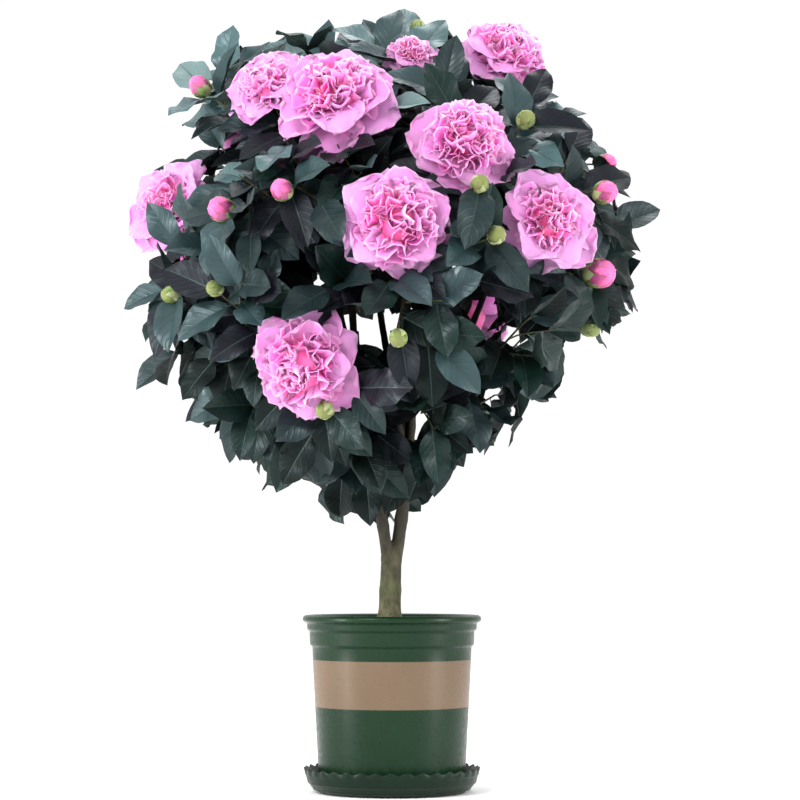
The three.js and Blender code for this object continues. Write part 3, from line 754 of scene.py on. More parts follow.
class Finish(Nodes):
    """A material under construction, round one Principled shader."""

    def __init__(self, name, colour, roughness, **plain):
        self.material = bpy.data.materials.new(name)
        self.material.use_nodes = True
        super().__init__(self.material.node_tree)
        self.shader = self.tree.nodes["Principled BSDF"]
        plain.update(Base_Color=linear(*colour), Roughness=roughness)
        for key, value in plain.items():
            self.shader.inputs[key.replace("_", " ")].default_value = value

    def place(self, output="Object", scale=(1, 1, 1)):
        """Where a pattern is: coordinates through a Mapping node."""
        where = self.add("ShaderNodeTexCoord", output=output)
        return self.add("ShaderNodeMapping", {"Vector": where, "Scale": scale})

    def noise(self, scale, detail=3.0, roughness=0.5, place=None):
        wires = {"Vector": place or self.place(), "Scale": scale}
        wires.update(Detail=detail, Roughness=roughness)
        return self.add("ShaderNodeTexNoise", wires, "Fac")

    def between(self, fac, low, high, start=0.35, finish=0.65):
        """A value spread from low to high as a pattern goes from start to finish."""
        return self.add("ShaderNodeMapRange", {0: fac, 1: start, 2: finish, 3: low, 4: high})

    def blend(self, fac, one, two):
        """A colour between two, by a pattern."""
        one, two = (linear(*c) if isinstance(c, tuple) else c for c in (one, two))
        return self.add("ShaderNodeMix", {0: fac, 6: one, 7: two}, 2, data_type="RGBA")

    def feed(self, **wires):
        """Links outputs into the shader's inputs."""
        for key, output in wires.items():
            self.tree.links.new(output, self.shader.inputs[key.replace("_", " ")])

    def bump(self, height, strength, distance, under=None):
        wires = {"Height": height, "Strength": strength, "Distance": distance}
        if under is not None:
            wires["Normal"] = under
        normal = self.add("ShaderNodeBump", wires)
        self.feed(Normal=normal)
        return normal


def leaf_finish(name, colour, roughness, gloss=0.36):
    """A leaf's skin: fine leathery grain, and side veins that run out from the midrib."""
    made = Finish(name, colour, roughness, Specular_IOR_Level=gloss)
    # A bluish specular tint: painted reflection, colouring the leaves' sheen as if a blue sky shone
    # in it.
    made.shader.inputs["Specular Tint"].default_value = (0.80, 0.95, 1.0, 1)
    u, v, _ = made.add("ShaderNodeSeparateXYZ", {0: made.place("UV")}).node.outputs
    across = made.math("ABSOLUTE", made.math("SUBTRACT", u, 0.5))
    slant = made.math("SUBTRACT", v, made.math("MULTIPLY", across, 0.55))
    ripple = made.math("SINE", made.math("MULTIPLY", slant, 52.0))
    vein = made.math("POWER", made.math("MAXIMUM", ripple, 0.0), 5.0)
    low = made.bump(vein, 0.35, 0.0006)
    made.bump(made.noise(900.0), 0.12, 0.0003, low)
    grain = made.noise(70.0, 4.0)
    made.feed(Roughness=made.between(grain, roughness - 0.08, roughness + 0.12))
    return made.material


def petal_finish(name, colour, roughness=0.62, glow=(1.0, 0.5, 0.85)):
    """A petal's skin: thin, soft and finely veined along its length. Light glows through it."""
    made = Finish(name, colour, roughness, Specular_IOR_Level=0.2, Subsurface_Weight=0.7)
    made.shader.inputs["Subsurface Radius"].default_value = glow
    made.shader.inputs["Subsurface Scale"].default_value = 0.009
    veins = made.noise(14.0, 2.0, place=made.place("UV", scale=(5.0, 0.35, 1.0)))
    low = made.bump(veins, 0.30, 0.0005)
    made.bump(made.noise(420.0), 0.08, 0.0002, low)
    made.feed(Roughness=made.between(made.noise(90.0), roughness - 0.08, roughness + 0.08))
    return made.material


# Upper faces of the leaves are lit and shaded copies of one leaf, as painted light and shade. The
# darker tones, which also have less gloss, are painted shade for leaves deep in or low on the
# crown. leaf_lit and leaf_pale are painted light for the outer leaves towards its top.
LEAF_TOPS = [
    leaf_finish("leaf_deep_shade", (4, 6, 8), 0.52, 0.10),
    leaf_finish("leaf_dark_green", (6, 15, 12), 0.46, 0.14),
    leaf_finish("leaf_plum_shade", (14, 14, 21), 0.44, 0.20),
    leaf_finish("leaf_bottle_green", (11, 29, 24), 0.40, 0.24),
    leaf_finish("leaf_green", (20, 33, 34), 0.39, 0.30),
    leaf_finish("leaf_blue_green", (36, 54, 56), 0.36),
    leaf_finish("leaf_lit", (60, 83, 85), 0.34),
    leaf_finish("leaf_pale", (88, 109, 109), 0.42),
]
LEAF_RIB = leaf_finish("leaf_midrib", (34, 52, 46), 0.45)
LEAF_UNDER = leaf_finish("leaf_underside", (48, 64, 58), 0.55)

HEART_GLOW = (1.0, 0.30, 0.48)
PETAL_LILAC = petal_finish("petal_lilac_pink", (222, 138, 206))
PETAL_ROSE = petal_finish("petal_rose", (226, 132, 202))
PETAL_EDGE = petal_finish("petal_pale_edge", (231, 153, 215))
# A hotter pink for the throats: partly the petals' own colour, partly painted glow of light through
# the petals.
PETAL_THROAT = petal_finish("petal_throat", (244, 132, 200))
PETALOID_PALE = petal_finish("petaloid_pale", (238, 156, 215), glow=HEART_GLOW)
PETALOID_PINK = petal_finish("petaloid_pink", (240, 140, 202), glow=HEART_GLOW)
PETALOID_HOT = petal_finish("petaloid_hot_pink", (248, 120, 176), glow=HEART_GLOW)
PETALOID_SALMON = petal_finish("petaloid_salmon", (252, 116, 146), glow=HEART_GLOW)


def bark_finish():
    """Grey-olive bark with mottling, lengthwise streaks, small raised pores and painted shade
    above.
    """
    made = Finish("camellia_bark", (112, 108, 86), 0.8, Specular_IOR_Level=0.25)
    patches = made.noise(70.0, 6.0, 0.7, place=made.place(scale=(1.0, 1.0, 0.6)))
    streaks = made.noise(95.0, 4.0, 0.65, place=made.place(scale=(1.0, 1.0, 0.22)))
    base = made.blend(made.between(patches, 0, 1, 0.36, 0.62), (47, 45, 31), (108, 104, 80))
    green = made.noise(14.0, 3.0)
    base = made.blend(made.between(green, 0, 0.7, 0.5, 0.7), base, (74, 84, 50))
    base = made.blend(made.between(streaks, 0, 0.6, 0.52, 0.64), base, (44, 38, 29))
    # Painted shade: the bark darkens towards the fork, as if in the crown's shadow.
    shade = made.between(made.height_of(made.place()), 0, 0.85, 0.235, 0.33)
    made.feed(Base_Color=made.blend(shade, base, (36, 32, 30)))
    low = made.bump(patches, 0.8, 0.0016)
    wires = {"Vector": made.place(scale=(1, 1, 1.7)), "Scale": 240.0}
    pores = made.add("ShaderNodeTexVoronoi", wires, "Distance")
    made.bump(made.between(pores, 1, 0, 0.05, 0.3), 0.25, 0.0005, low)
    made.feed(Roughness=made.between(patches, 0.7, 0.92))
    return made.material


def young_finish():
    made = Finish("young_twig", (86, 88, 58), 0.6, Specular_IOR_Level=0.3)
    streaks = made.noise(120.0, 3.0, place=made.place(scale=(1, 1, 0.4)))
    made.feed(Base_Color=made.blend(made.between(streaks, 0, 1), (44, 38, 26), (72, 74, 46)))
    made.bump(streaks, 0.3, 0.0004)
    return made.material


BARK = bark_finish()
YOUNG = young_finish()
BUD_GREEN = petal_finish("bud_scale_green", (150, 166, 98), 0.5)
BUD_CREAM = petal_finish("bud_scale_cream", (196, 190, 134), 0.5)
BUD_OLIVE = petal_finish("bud_scale_olive", (112, 122, 70), 0.5)
BUD_TIP = petal_finish("bud_scale_tip", (150, 116, 84), 0.6)
BUD_PINK = petal_finish("bud_pink", (226, 100, 156), 0.5)
BUD_ROSE = petal_finish("bud_rose", (206, 78, 138), 0.5)
BUD_BLUSH = petal_finish("bud_blush", (236, 140, 184), 0.5)


def plastic_finish(name, colour, darker, roughness):
    """Moulded plastic: a hazy change of tone, a little dust, and a slightly uneven skin."""
    made = Finish(name, colour, roughness, Specular_IOR_Level=0.18)
    haze = made.between(made.noise(9.0, 4.0), 0, 1, 0.3, 0.7)
    dust = made.noise(160.0, 5.0, 0.65)
    made.feed(Base_Color=made.blend(haze, darker, colour))
    made.feed(Roughness=made.between(dust, roughness - 0.07, roughness + 0.1))
    low = made.bump(made.noise(22.0, 2.0), 0.25, 0.001)
    made.bump(made.noise(1500.0, 2.0), 0.08, 0.0002, low)
    return made.material


POT_GREEN = plastic_finish("pot_green", (15, 42, 23), (11, 36, 18), 0.30)
POT_BAND = plastic_finish("pot_tan_band", (107, 89, 72), (97, 80, 63), 0.32)
SAUCER_GREEN = plastic_finish("saucer_green", (8, 31, 18), (5, 26, 14), 0.34)


def mix_finish():
    made = Finish("potting_mix", (52, 38, 28), 0.95, Specular_IOR_Level=0.2)
    clods = made.noise(140.0, 6.0, 0.7)
    made.feed(Base_Color=made.blend(made.between(clods, 0, 1), (34, 24, 18), (78, 58, 42)))
    made.bump(clods, 0.9, 0.003)
    return made.material


MIX = mix_finish()
CRUMB_DARK = plastic_finish("bark_crumb_dark", (58, 40, 28), (40, 28, 20), 0.9)
CRUMB_TAN = plastic_finish("bark_crumb_tan", (122, 88, 58), (90, 62, 40), 0.9)
CRUMB_PALE = plastic_finish("perlite", (222, 218, 206), (200, 196, 184), 0.9)

# ---------------------------------------------------------------- leaf, petal and bud patterns

# Collections kept out of the scene, whose members a recipe picks by their order.
leaf_shapes, petal_shapes, bud_shapes, crumb_shapes = (
    bpy.data.collections.new(name)
    for name in ("leaf_patterns", "petal_patterns", "bud_patterns", "crumb_patterns")
)
# The part that a face belongs to: of a petal or a bud's scale, of a leaf, and of a bud's core.
BLADE, RIM, THROAT = 0, 1, 2
RIB, UNDERSIDE = 1, 2
CORE, RIPE_CORE = 3, 4

# One seed for the petals' patterns, and the first of a run for each crumb, bloom, bud and leaf.
PATTERN_SEED, CRUMB_SEED, BLOOM_SEED, BUD_SEED, LEAF_SEED = 77, 40, 300, 600, 7000


def built(name, bm):
    mesh = bpy.data.meshes.new(name)
    bm.to_mesh(mesh)
    bm.free()
    return mesh


def pattern_object(name, bm, collection):
    """A pattern's mesh as an object: doubles merged, faces outward, and its rim kept crisp."""
    bmesh.ops.remove_doubles(bm, verts=bm.verts, dist=1e-5)
    bmesh.ops.dissolve_degenerate(bm, edges=bm.edges, dist=1e-6)
    bmesh.ops.recalc_face_normals(bm, faces=bm.faces)
    mesh = built(name, bm)
    mesh.shade_smooth()
    mesh.set_sharp_from_angle(angle=math.radians(75))
    new_object(name, mesh, collection)


class Pattern:
    """A pattern under construction. A corner is a vertex and its place across and along."""

    def __init__(self):
        self.bm = bmesh.new()
        self.part = self.bm.faces.layers.int.new("part")
        self.uv = self.bm.loops.layers.uv.new("UVMap")

    def vertices(self, rows):
        return [[self.bm.verts.new(point) for point in row] for row in rows]

    def face(self, corners, part):
        made = self.bm.faces.new([corner[0] for corner in corners])
        made[self.part] = part
        for loop, (_, u, v) in zip(made.loops, corners):
            loop[self.uv].uv = (u, v)

    def halves(self, corners, first, part):
        """Two triangles, split from a corner. Both sides of a leaf are split alike."""
        for k in (first, first + 2):
            self.face([corners[(k + step) % 4] for step in range(3)], part)


def cell(rows, across, along, i, j):
    """The four corners of a grid's cell, anticlockwise."""
    places = ((i, j), (i, j + 1), (i + 1, j + 1), (i + 1, j))
    return [(rows[a][b], across[b], along[a]) for a, b in places]


def shell(name, rows, part, collection, thickness):
    """A thin closed blade over a grid of points: rows along it, each from side to side."""
    rows = np.array(rows, float)
    n, m = rows.shape[:2]
    normal = np.cross(np.gradient(rows, axis=1), np.gradient(rows, axis=0))
    size = np.linalg.norm(normal, axis=-1, keepdims=True)
    normal = np.where(size > 1e-9, normal / np.maximum(size, 1e-9), UP)
    lower = rows - normal * thickness
    lower[0], lower[-1], lower[:, 0], lower[:, -1] = rows[0], rows[-1], rows[:, 0], rows[:, -1]
    across, along = [b / (m - 1) for b in range(m)], [a / (n - 1) for a in range(n)]
    made = Pattern()
    for grid, way in ((rows, 1), (lower, -1)):
        corners = made.vertices(grid)
        for i in range(n - 1):
            for j in range(m - 1):
                made.face(cell(corners, across, along, i, j)[::way], part(i, j))
    pattern_object(name, made.bm, collection)


# Along a leaf of length 1, from the foot of its stalk: share, and half its width over the widest.
LEAF_OUTLINE = [
    (0.00, 0.05), (0.08, 0.055), (0.13, 0.36), (0.20, 0.66), (0.29, 0.88), (0.40, 0.985),
    (0.52, 1.00), (0.64, 0.93), (0.75, 0.78), (0.85, 0.54), (0.92, 0.30), (0.97, 0.11), (1.00, 0.0),
]
# Where a leaf's corners lie from side to side, above and below.
ABOVE, BELOW = (0.0, 0.24, 0.48, 0.52, 0.76, 1.0), (0.0, 0.24, 0.5, 0.76, 1.0)


def leaf_pattern(number, fold, lift, curl, bend, wave, width):
    """One way that a leaf folds along its midrib, curls at its tip and waves at its edge."""
    top, under = [], []
    for share, half in LEAF_OUTLINE:
        half *= LEAF_WIDTH / 2 * width
        spine = lift * share - curl * share**2
        aside = bend * share**2
        ribbed = min(0.010 * (1.2 - share), 0.5 * half)
        edges, inner, arch = [], [], []
        for way in (-1, 1):
            z = spine + fold * half + wave * math.sin(share * 13 + number + way) * half * 4
            low = spine - 0.02 * half
            edges.append((aside + way * half, share, z))
            inner.append((aside + way * ribbed, share, low))
            out = aside + way * (ribbed + (half - ribbed) * 0.52)
            arch.append((out, share, (low + z) / 2 + 0.11 * half))
        top.append([edges[0], arch[0], *inner, arch[1], edges[1]])
        depth = 0.006 + 0.05 * half
        one, two = ((x, y, z - depth) for x, y, z in arch)
        under.append([one, (aside, share, spine - depth), two])
    made = Pattern()
    upper = made.vertices(top)
    lower = [[rim[0], *row, rim[5]] for rim, row in zip(upper, made.vertices(under))]
    along = [share for share, _ in LEAF_OUTLINE]
    for i in range(len(along) - 1):
        for j in range(len(ABOVE) - 1):
            corners = cell(upper, ABOVE, along, i, j)
            made.halves(corners, 0, RIB if j == 2 or i == 0 else BLADE)
        for j in range(len(BELOW) - 1):
            corners = cell(lower, BELOW, along, i, j)[::-1]
            made.halves(corners, 1, RIB if i == 0 else UNDERSIDE)
    foot = made.bm.faces.new([*reversed(upper[0]), *lower[0][1:4]])
    foot[made.part] = RIB
    pattern_object(f"leaf_{number}", made.bm, leaf_shapes)


# (fold, lift, curl, bend, wave, width)
LEAF_WAYS = [
    (0.24, 0.10, 0.16, 0.00, 0.040, 1.06), (0.40, 0.14, 0.24, 0.03, 0.025, 0.98),
    (0.16, 0.06, 0.12, -0.03, 0.055, 1.12), (0.30, 0.16, 0.30, -0.05, 0.030, 1.04),
    (0.48, 0.10, 0.18, 0.04, 0.020, 0.96), (0.20, 0.02, 0.05, 0.02, 0.060, 1.10),
    (0.28, 0.20, 0.36, 0.00, 0.045, 1.02), (0.12, 0.08, 0.20, -0.02, 0.065, 1.14),
]
for number, way in enumerate(LEAF_WAYS):
    leaf_pattern(number, *way)


# Along a guard petal of length 1: share, and its width over the widest.
PETAL_OUTLINE = [
    (0.0, 0.18), (0.20, 0.50), (0.42, 0.82), (0.62, 0.98), (0.78, 1.0), (0.89, 0.90),
    (0.96, 0.72), (1.0, 0.50),
]


def guard_pattern(number, cup, flare, ruffle, notch, width):
    """A broad outer petal: it cups, flares at the rim, and its edge is ruffled and notched."""
    columns = (-1.0, -0.93, -0.7, -0.36, 0.0, 0.36, 0.7, 0.93, 1.0)
    phase = draw() * 6
    rows = []
    for share, wide in PETAL_OUTLINE:
        half = width * 0.5 * wide
        row = []
        for c in columns:
            reach = share - 0.24 * c * c * share**2
            reach -= notch * math.exp(-(((c - 0.15) / 0.22) ** 2)) * share**6
            reach += 0.02 * math.sin(c * 6 + phase) * share**4
            z = cup * math.sin(reach * 2.4) - flare * reach**3 + 0.16 * c**2 * half
            z += ruffle * math.sin(c * 4.4 + phase) * share**2
            z += ruffle * 0.6 * math.sin(share * 7 + phase) * c * abs(c)
            row.append((half * c, reach, z))
        rows.append(row)

    def part(i, j):
        if i == 0:
            return THROAT
        return RIM if i == len(rows) - 2 or j in (0, len(columns) - 2) else BLADE

    shell(f"petal_{number}", rows, part, petal_shapes, 0.012)


def petaloid_pattern(number, curl, ruffle, waves, width):
    """A small inner petal: it widens to a crumpled, frilled rim, and curls in or out."""
    phase = draw() * 6
    rows = []
    for share in (0.0, 0.4, 0.76, 0.93, 1.0):
        half = width * 0.5 * (0.2 + 0.8 * share**0.7)
        row = []
        for c in (-1.0, -0.68, -0.34, 0.0, 0.34, 0.68, 1.0):
            reach = share * (1 - 0.16 * c * c) + 0.04 * math.sin(c * 8 + phase) * share**3
            z = curl * reach**2 + 0.22 * c * c * half
            z += ruffle * math.sin(c * waves + phase) * share**1.6
            z += ruffle * 0.4 * math.sin(c * waves * 2.1 + phase * 3) * share**3
            row.append((half * c * (1 - 0.18 * c * c), reach, z))
        rows.append(row)
    parts = (THROAT, BLADE, BLADE, RIM)
    shell(f"petaloid_{number}", rows, lambda i, j: parts[i], petal_shapes, 0.014)


draw = chance(PATTERN_SEED)
# (cup, flare, ruffle, notch, width)
GUARD_WAYS = [
    (0.10, 0.12, 0.045, 0.08, 0.98), (0.18, 0.22, 0.065, 0.04, 0.90),
    (0.06, 0.02, 0.055, 0.12, 1.06), (0.14, 0.28, 0.075, 0.06, 0.94),
]
# (curl, ruffle, waves, width)
PETALOID_WAYS = [
    (0.20, 0.10, 4.0, 0.64), (-0.16, 0.13, 4.6, 0.72), (0.34, 0.09, 3.4, 0.60),
    (0.05, 0.14, 5.0, 0.76), (-0.30, 0.11, 4.2, 0.68), (0.14, 0.15, 3.8, 0.66),
]
for number, way in enumerate(GUARD_WAYS):
    guard_pattern(number, *way)
for number, way in enumerate(PETALOID_WAYS):
    petaloid_pattern(number, *way)
FIRST_PETALOID = len(GUARD_WAYS)
HEART_CORE = FIRST_PETALOID + len(PETALOID_WAYS)


def heart_core():
    """The crowded middle of a bloom, seen between its petaloids."""
    bm = bmesh.new()
    part = bm.faces.layers.int.new("part")
    bmesh.ops.create_icosphere(bm, subdivisions=2, radius=1.0)
    for v in bm.verts:
        v.co *= 1 + 0.08 * math.sin(7 * v.co.x + 3) * math.sin(6 * v.co.z + 8 * v.co.y)
    for face in bm.faces:
        face[part] = THROAT
    pattern_object("z_heart", bm, petal_shapes)


# A bud's length over its width.
BUD_LENGTH = 1.14


def bud_core(name, swirling, part):
    """A bud's plump core, pointed at its tip. Wrapped petals swirl round a ripe one."""
    bm = bmesh.new()
    layer = bm.faces.layers.int.new("part")
    bmesh.ops.create_uvsphere(bm, u_segments=20, v_segments=14, radius=1.0)
    for v in bm.verts:
        height = v.co.z
        turn = math.atan2(v.co.x, v.co.y)
        swirl = 0.05 * swirling * math.sin(3 * turn + 4 * height) * (1 - height * height)
        pinch = 1 - 0.10 * max(0.0, height) ** 2
        v.co.x *= (1 + swirl) * pinch
        v.co.y *= (1 + swirl) * pinch
        v.co.z *= BUD_LENGTH
        v.co.z += 0.16 * max(0.0, height) ** 6
    for face in bm.faces:
        face[layer] = part
    mesh = built(name, bm)
    mesh.transform(((1, 0, 0, 0), (0, 0, 1, 0), (0, -1, 0, 0), (0, 0, 0, 1)))
    new_object(name, mesh, bud_shapes)


def bud_scale(name, top, wide):
    """A scale that lies on a bud from its foot up to a rise, and narrows to a tip."""
    rows = []
    for share in np.linspace(0, 1, 7):
        rise = mix(-1.4, top, share)
        half = wide * math.sin(min(1.0, 0.3 + share * 0.95) * math.pi) ** 0.6
        half = 0.02 if share == 1 else max(0.05, half)
        row = []
        for c in np.linspace(-1, 1, 6):
            lift = 1.03 + 0.03 * (1 - c * c)
            out = lift * math.cos(rise)
            height = lift * BUD_LENGTH * math.sin(rise)
            row.append((out * math.sin(c * half), height, out * math.cos(c * half)))
        rows.append(row)
    shell(name, rows, lambda i, j: RIM if i == 5 else BLADE, bud_shapes, 0.03)


heart_core()
bud_core("a0_bud_core_green", 0, CORE)
bud_core("a1_bud_core_petals", 1, RIPE_CORE)
bud_scale("b_scale_low", 0.5, 0.85)
bud_scale("c_scale_high", 1.42, 0.8)
GREEN_BUD, RIPE_BUD, LOW_SCALE, HIGH_SCALE = range(4)

# ---------------------------------------------------------------- recipes


class Bed:
    """Places where copies of a pattern stand: lie is the way it grows, face the way it looks."""

    LAYERS = (
        ("lie", "FLOAT_VECTOR"),
        ("face", "FLOAT_VECTOR"),
        ("size", "FLOAT"),
        ("pattern", "INT"),
        ("tone", "INT"),
    )

    def __init__(self):
        self.rows = []

    def add(self, at, lie, face, size, pattern, tone=0):
        self.rows.append((at, lie, face, size, pattern, tone))

    def object(self, name):
        at, *layers = zip(*self.rows)
        mesh = mesh_of(name, np.array(at) * MM)
        for (layer, kind), values in zip(self.LAYERS, layers):
            put_layer(mesh, layer, kind, values)
        return new_object(name, mesh)


def standing_recipe(name, shapes, finishes):
    """Copies of patterns, each stood on its point. finishes give (part, tone or None): material."""
    made = Recipe(name, Patterns=("Collection", shapes), Size=("Float", MM))
    axes = {0: made.layer("lie", "FLOAT_VECTOR"), 1: made.layer("face", "FLOAT_VECTOR")}
    turn = made.add("FunctionNodeAxesToRotation", axes, primary_axis="Y", secondary_axis="Z")
    size = made.math("MULTIPLY", made.layer("size"), made.given["Size"])
    which = made.layer("pattern", "INT")
    stood = made.copies(made.given["Geometry"], made.given["Patterns"], which, turn, size)
    part, tone = made.layer("part", "INT"), made.layer("tone", "INT")
    code = made.add("ShaderNodeMath", {0: tone, 1: 10.0, 2: part}, operation="MULTIPLY_ADD")
    chosen = []
    for (of_part, of_tone), material in finishes.items():
        if of_tone is None:
            chosen.append((material, made.same(part, of_part)))
        else:
            chosen.append((material, made.same(code, of_tone * 10 + of_part)))
    return made.end(stood, chosen)


def tube_recipe(name, old, young):
    """Round limbs along lines, each as thick as its girth says. Young wood is under a girth."""
    made = Recipe(name, Sides=("Int", 6), Girth_scale=("Float", 1.0), Young_below=("Float", 0.0013))
    given, girth = made.given, made.layer("girth")
    lines = made.add("GeometryNodeMeshToCurve", {"Mesh": given["Geometry"]})
    wires = {"Resolution": given["Sides"], "Radius": 1.0}
    ring = made.add("GeometryNodeCurvePrimitiveCircle", wires)
    scale = made.math("MULTIPLY", girth, given["Girth scale"])
    wires = {"Curve": lines, "Profile Curve": ring, "Scale": scale, "Fill Caps": True}
    tubes = made.add("GeometryNodeCurveToMesh", wires)
    tubes = made.add("GeometryNodeSetShadeSmooth", {"Geometry": tubes})
    thin = made.math("LESS_THAN", girth, given["Young below"])
    return made.end(tubes, ((old, True), (young, thin)))


def relief_recipe(name, material):
    """Knots and lengthwise relief raised on a skin of bark."""
    made = Recipe(name, Relief=("Float", 0.0016), Fine_relief=("Float", 0.0008))
    skin = made.given["Geometry"]
    wires = {0: made.add("GeometryNodeInputPosition"), 1: (1.0, 1.0, 0.3)}
    drawn = made.add("ShaderNodeVectorMath", wires, operation="MULTIPLY")
    normal = made.add("GeometryNodeInputNormal")
    for scale, depth in ((55.0, "Relief"), (240.0, "Fine relief")):
        wires = {"Vector": drawn, "Scale": scale, "Detail": 3.0}
        bumps = made.math("SUBTRACT", made.add("ShaderNodeTexNoise", wires), 0.5)
        wires = {0: normal, "Scale": made.math("MULTIPLY", bumps, made.given[depth])}
        push = made.add("ShaderNodeVectorMath", wires, operation="SCALE")
        skin = made.add("GeometryNodeSetPosition", {"Geometry": skin, "Offset": push})
    return made.end(skin, [(material, True)])


def fused(obj, grain):
    """Limbs that run into each other become one skin, of faces about as large as the grain."""
    remesh = obj.modifiers.new("fuse", "REMESH")
    remesh.mode, remesh.voxel_size, remesh.use_smooth_shade = "VOXEL", grain, True
    return settled(obj)


def lines_object(name, limbs):
    """All limbs' middle lines in one object, with a girth at each point."""
    points, edges, girths = [], [], []
    for limb in limbs:
        start = len(points)
        points.extend(limb.points * MM)
        girths.extend(limb.girths * MM)
        edges.extend((start + i, start + i + 1) for i in range(len(limb.points) - 1))
    mesh = mesh_of(name, points, edges)
    put_layer(mesh, "girth", "FLOAT", girths)
    return new_object(name, mesh)


def ride(obj, slot, *nodes):
    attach(obj, "root")
    if nodes:
        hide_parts(*nodes)


# ---------------------------------------------------------------- bark and twigs

BARK_GRAIN = 0.0014
bark = grown(lines_object("bark", timber), tube_recipe("round limbs", BARK, BARK), Sides=20)
bark = grown(fused(bark, BARK_GRAIN), relief_recipe("bark relief", BARK))
ride(
    bark,
    "bark",
    "trunk",
    "leader_left",
    "leader_right",
    "leader_back",
    *("bough_" + mass.name for mass in masses),
)
twigs = grown(lines_object("twigs", twiggery), tube_recipe("round twigs", BARK, YOUNG), Sides=6)
ride(twigs, "bark")

# ---------------------------------------------------------------- leaves

leaf_finishes = {(BLADE, tone): material for tone, material in enumerate(LEAF_TOPS)}
leaf_finishes.update({(RIB, None): LEAF_RIB, (UNDERSIDE, None): LEAF_UNDER})
leaf_recipe = standing_recipe("leaves on their twigs", leaf_shapes, leaf_finishes)

# How deep in the crown, in mm, the painted shade and the painted deep shade begin.
SHADE, DEEP_SHADE = 75, 120
# Tones of the outer leaves from a height in mm upwards, as painted light and shade: the crown pales
# towards its top, where the light falls, and darkens low down.
OUTER_TONES = (
    (810, (4, 5, 5, 6, 6, 6, 7, 5, 4, 6)),
    (660, (2, 4, 4, 5, 5, 6, 2, 3, 5, 4)),
    (560, (2, 2, 3, 4, 4, 5, 3, 4, 2, 5)),
    (470, (1, 3, 2, 3, 4, 1, 3, 4, 5, 3)),
    (0, (1, 1, 3, 1, 3, 4, 1, 3, 1, 4)),
)


def leaf_tone(leaf, draw):
    """Painted shade: deeper leaves are darker, as are those low on the side away from the light."""
    depth = depth_of(leaf.middle[None])[0]
    pick = int(draw() * 10)
    # Painted shade: leaves deep in the crown take the darkest tones.
    if depth > DEEP_SHADE:
        return 0
    if depth > SHADE:
        return 2 if pick < 3 else 0
    # Painted light and shade: leaves low down or out to the right, away from the light, take darker
    # tones, and high ones paler, lit tones.
    x, _, height = leaf.middle
    level = height - 0.45 * max(0.0, x)
    return next(tones for start, tones in OUTER_TONES if level >= start)[pick]


LEAF_PIECES = {
    "leaves_front": ("front", "front_right", "front_left", "front_left_low", "front_right_low"),
    "leaves_right": ("right", "right_top", "right_low", "right_back"),
    "leaves_back": ("back", "back_top", "back_low", "left_back"),
    "leaves_left": ("left_low", "left", "top"),
}
for name, members in LEAF_PIECES.items():
    bed = Bed()
    for number, leaf in enumerate(canopy.leaves):
        if leaf.mass.name in members:
            draw = chance(number + LEAF_SEED)
            tone = leaf_tone(leaf, draw)
            pattern = int(draw() * len(LEAF_WAYS))
            bed.add(leaf.base, leaf.along, leaf.up, leaf.length, pattern, tone)
    piece = grown(bed.object(name), leaf_recipe)
    ride(piece, "foliage", *("foliage_" + m for m in members))

# ---------------------------------------------------------------- blooms and buds

# Each ring of guard petals: how many, how far they lean in degrees, and their length.
GUARD_RINGS = ((6, 88, 1.0), (5, 66, 0.93))
PETALOIDS = 82
# Each tone of a petal: its blade, rim and throat. The throats' hotter pink is partly the petals'
# own deeper base and partly painted glow, standing in for light shining through the petals into the
# bloom's hollows.
PETAL_TONES = (
    (PETAL_LILAC, PETAL_EDGE, PETAL_THROAT),
    (PETAL_ROSE, PETAL_EDGE, PETAL_THROAT),
    (PETALOID_PALE, PETAL_EDGE, PETALOID_HOT),
    (PETALOID_PINK, PETALOID_PALE, PETALOID_HOT),
    (PETALOID_HOT, PETALOID_PINK, PETALOID_SALMON),
    (PETALOID_PINK, PETALOID_PINK, PETALOID_SALMON),
)
# Tones of the petaloids in the middle of a heart and further out.
HEART_TONES, SKIRT_TONES = (4, 3, 5, 2), (2, 3, 2, 5)


def petal_bed(bed, end, number):
    """One bloom: two rings of guard petals round a crowded, domed heart of petaloids."""
    draw = chance(number + BLOOM_SEED)
    r = end.spread
    foot = end.at - end.facing * 0.20 * r

    def spread(turn, lean):
        aside = beside(end.facing, turn)
        lie = end.facing * math.cos(lean) + aside * math.sin(lean)
        face = end.facing * math.sin(lean) - aside * math.cos(lean)
        return aside, lie, face

    def spun(lie, face, angle):
        return face * math.cos(angle) + np.cross(lie, face) * math.sin(angle)

    start = draw() * 6
    for ring, (count, lean, long) in enumerate(GUARD_RINGS):
        for k in range(count):
            turn = start + ring * 0.5 + (k + 0.35 * (draw() - 0.5)) / count * 2 * math.pi
            aside, lie, face = spread(turn, math.radians(lean + 22 * (draw() - 0.5)))
            face = spun(lie, face, 0.5 * (draw() - 0.5))
            size = r * long * (0.88 + 0.17 * draw())
            tone = int(draw() * 2)
            pattern = int(draw() * len(GUARD_WAYS))
            bed.add(foot + aside * r * 0.06, lie, face, size, pattern, tone)
    core = r * end.heart * 0.44
    at = foot + end.facing * core * 0.45
    bed.add(at, end.facing, beside(end.facing, 0), core, HEART_CORE, 3)
    for k in range(PETALOIDS):
        share = (k + 0.5) / PETALOIDS
        lean = math.radians(3 + 70 * share**0.6 + 12 * (draw() - 0.5))
        aside, lie, face = spread(k * GOLDEN + start, lean)
        face = spun(lie, face, (draw() - 0.5) * 1.5)
        size = r * end.heart * (0.80 - 0.10 * share + 0.16 * (draw() - 0.5))
        tone = (HEART_TONES if share < 0.45 else SKIRT_TONES)[int(draw() * 4)]
        pattern = FIRST_PETALOID + int(draw() * len(PETALOID_WAYS))
        bed.add(foot + aside * r * 0.14 * share, lie, face, size, pattern, tone)


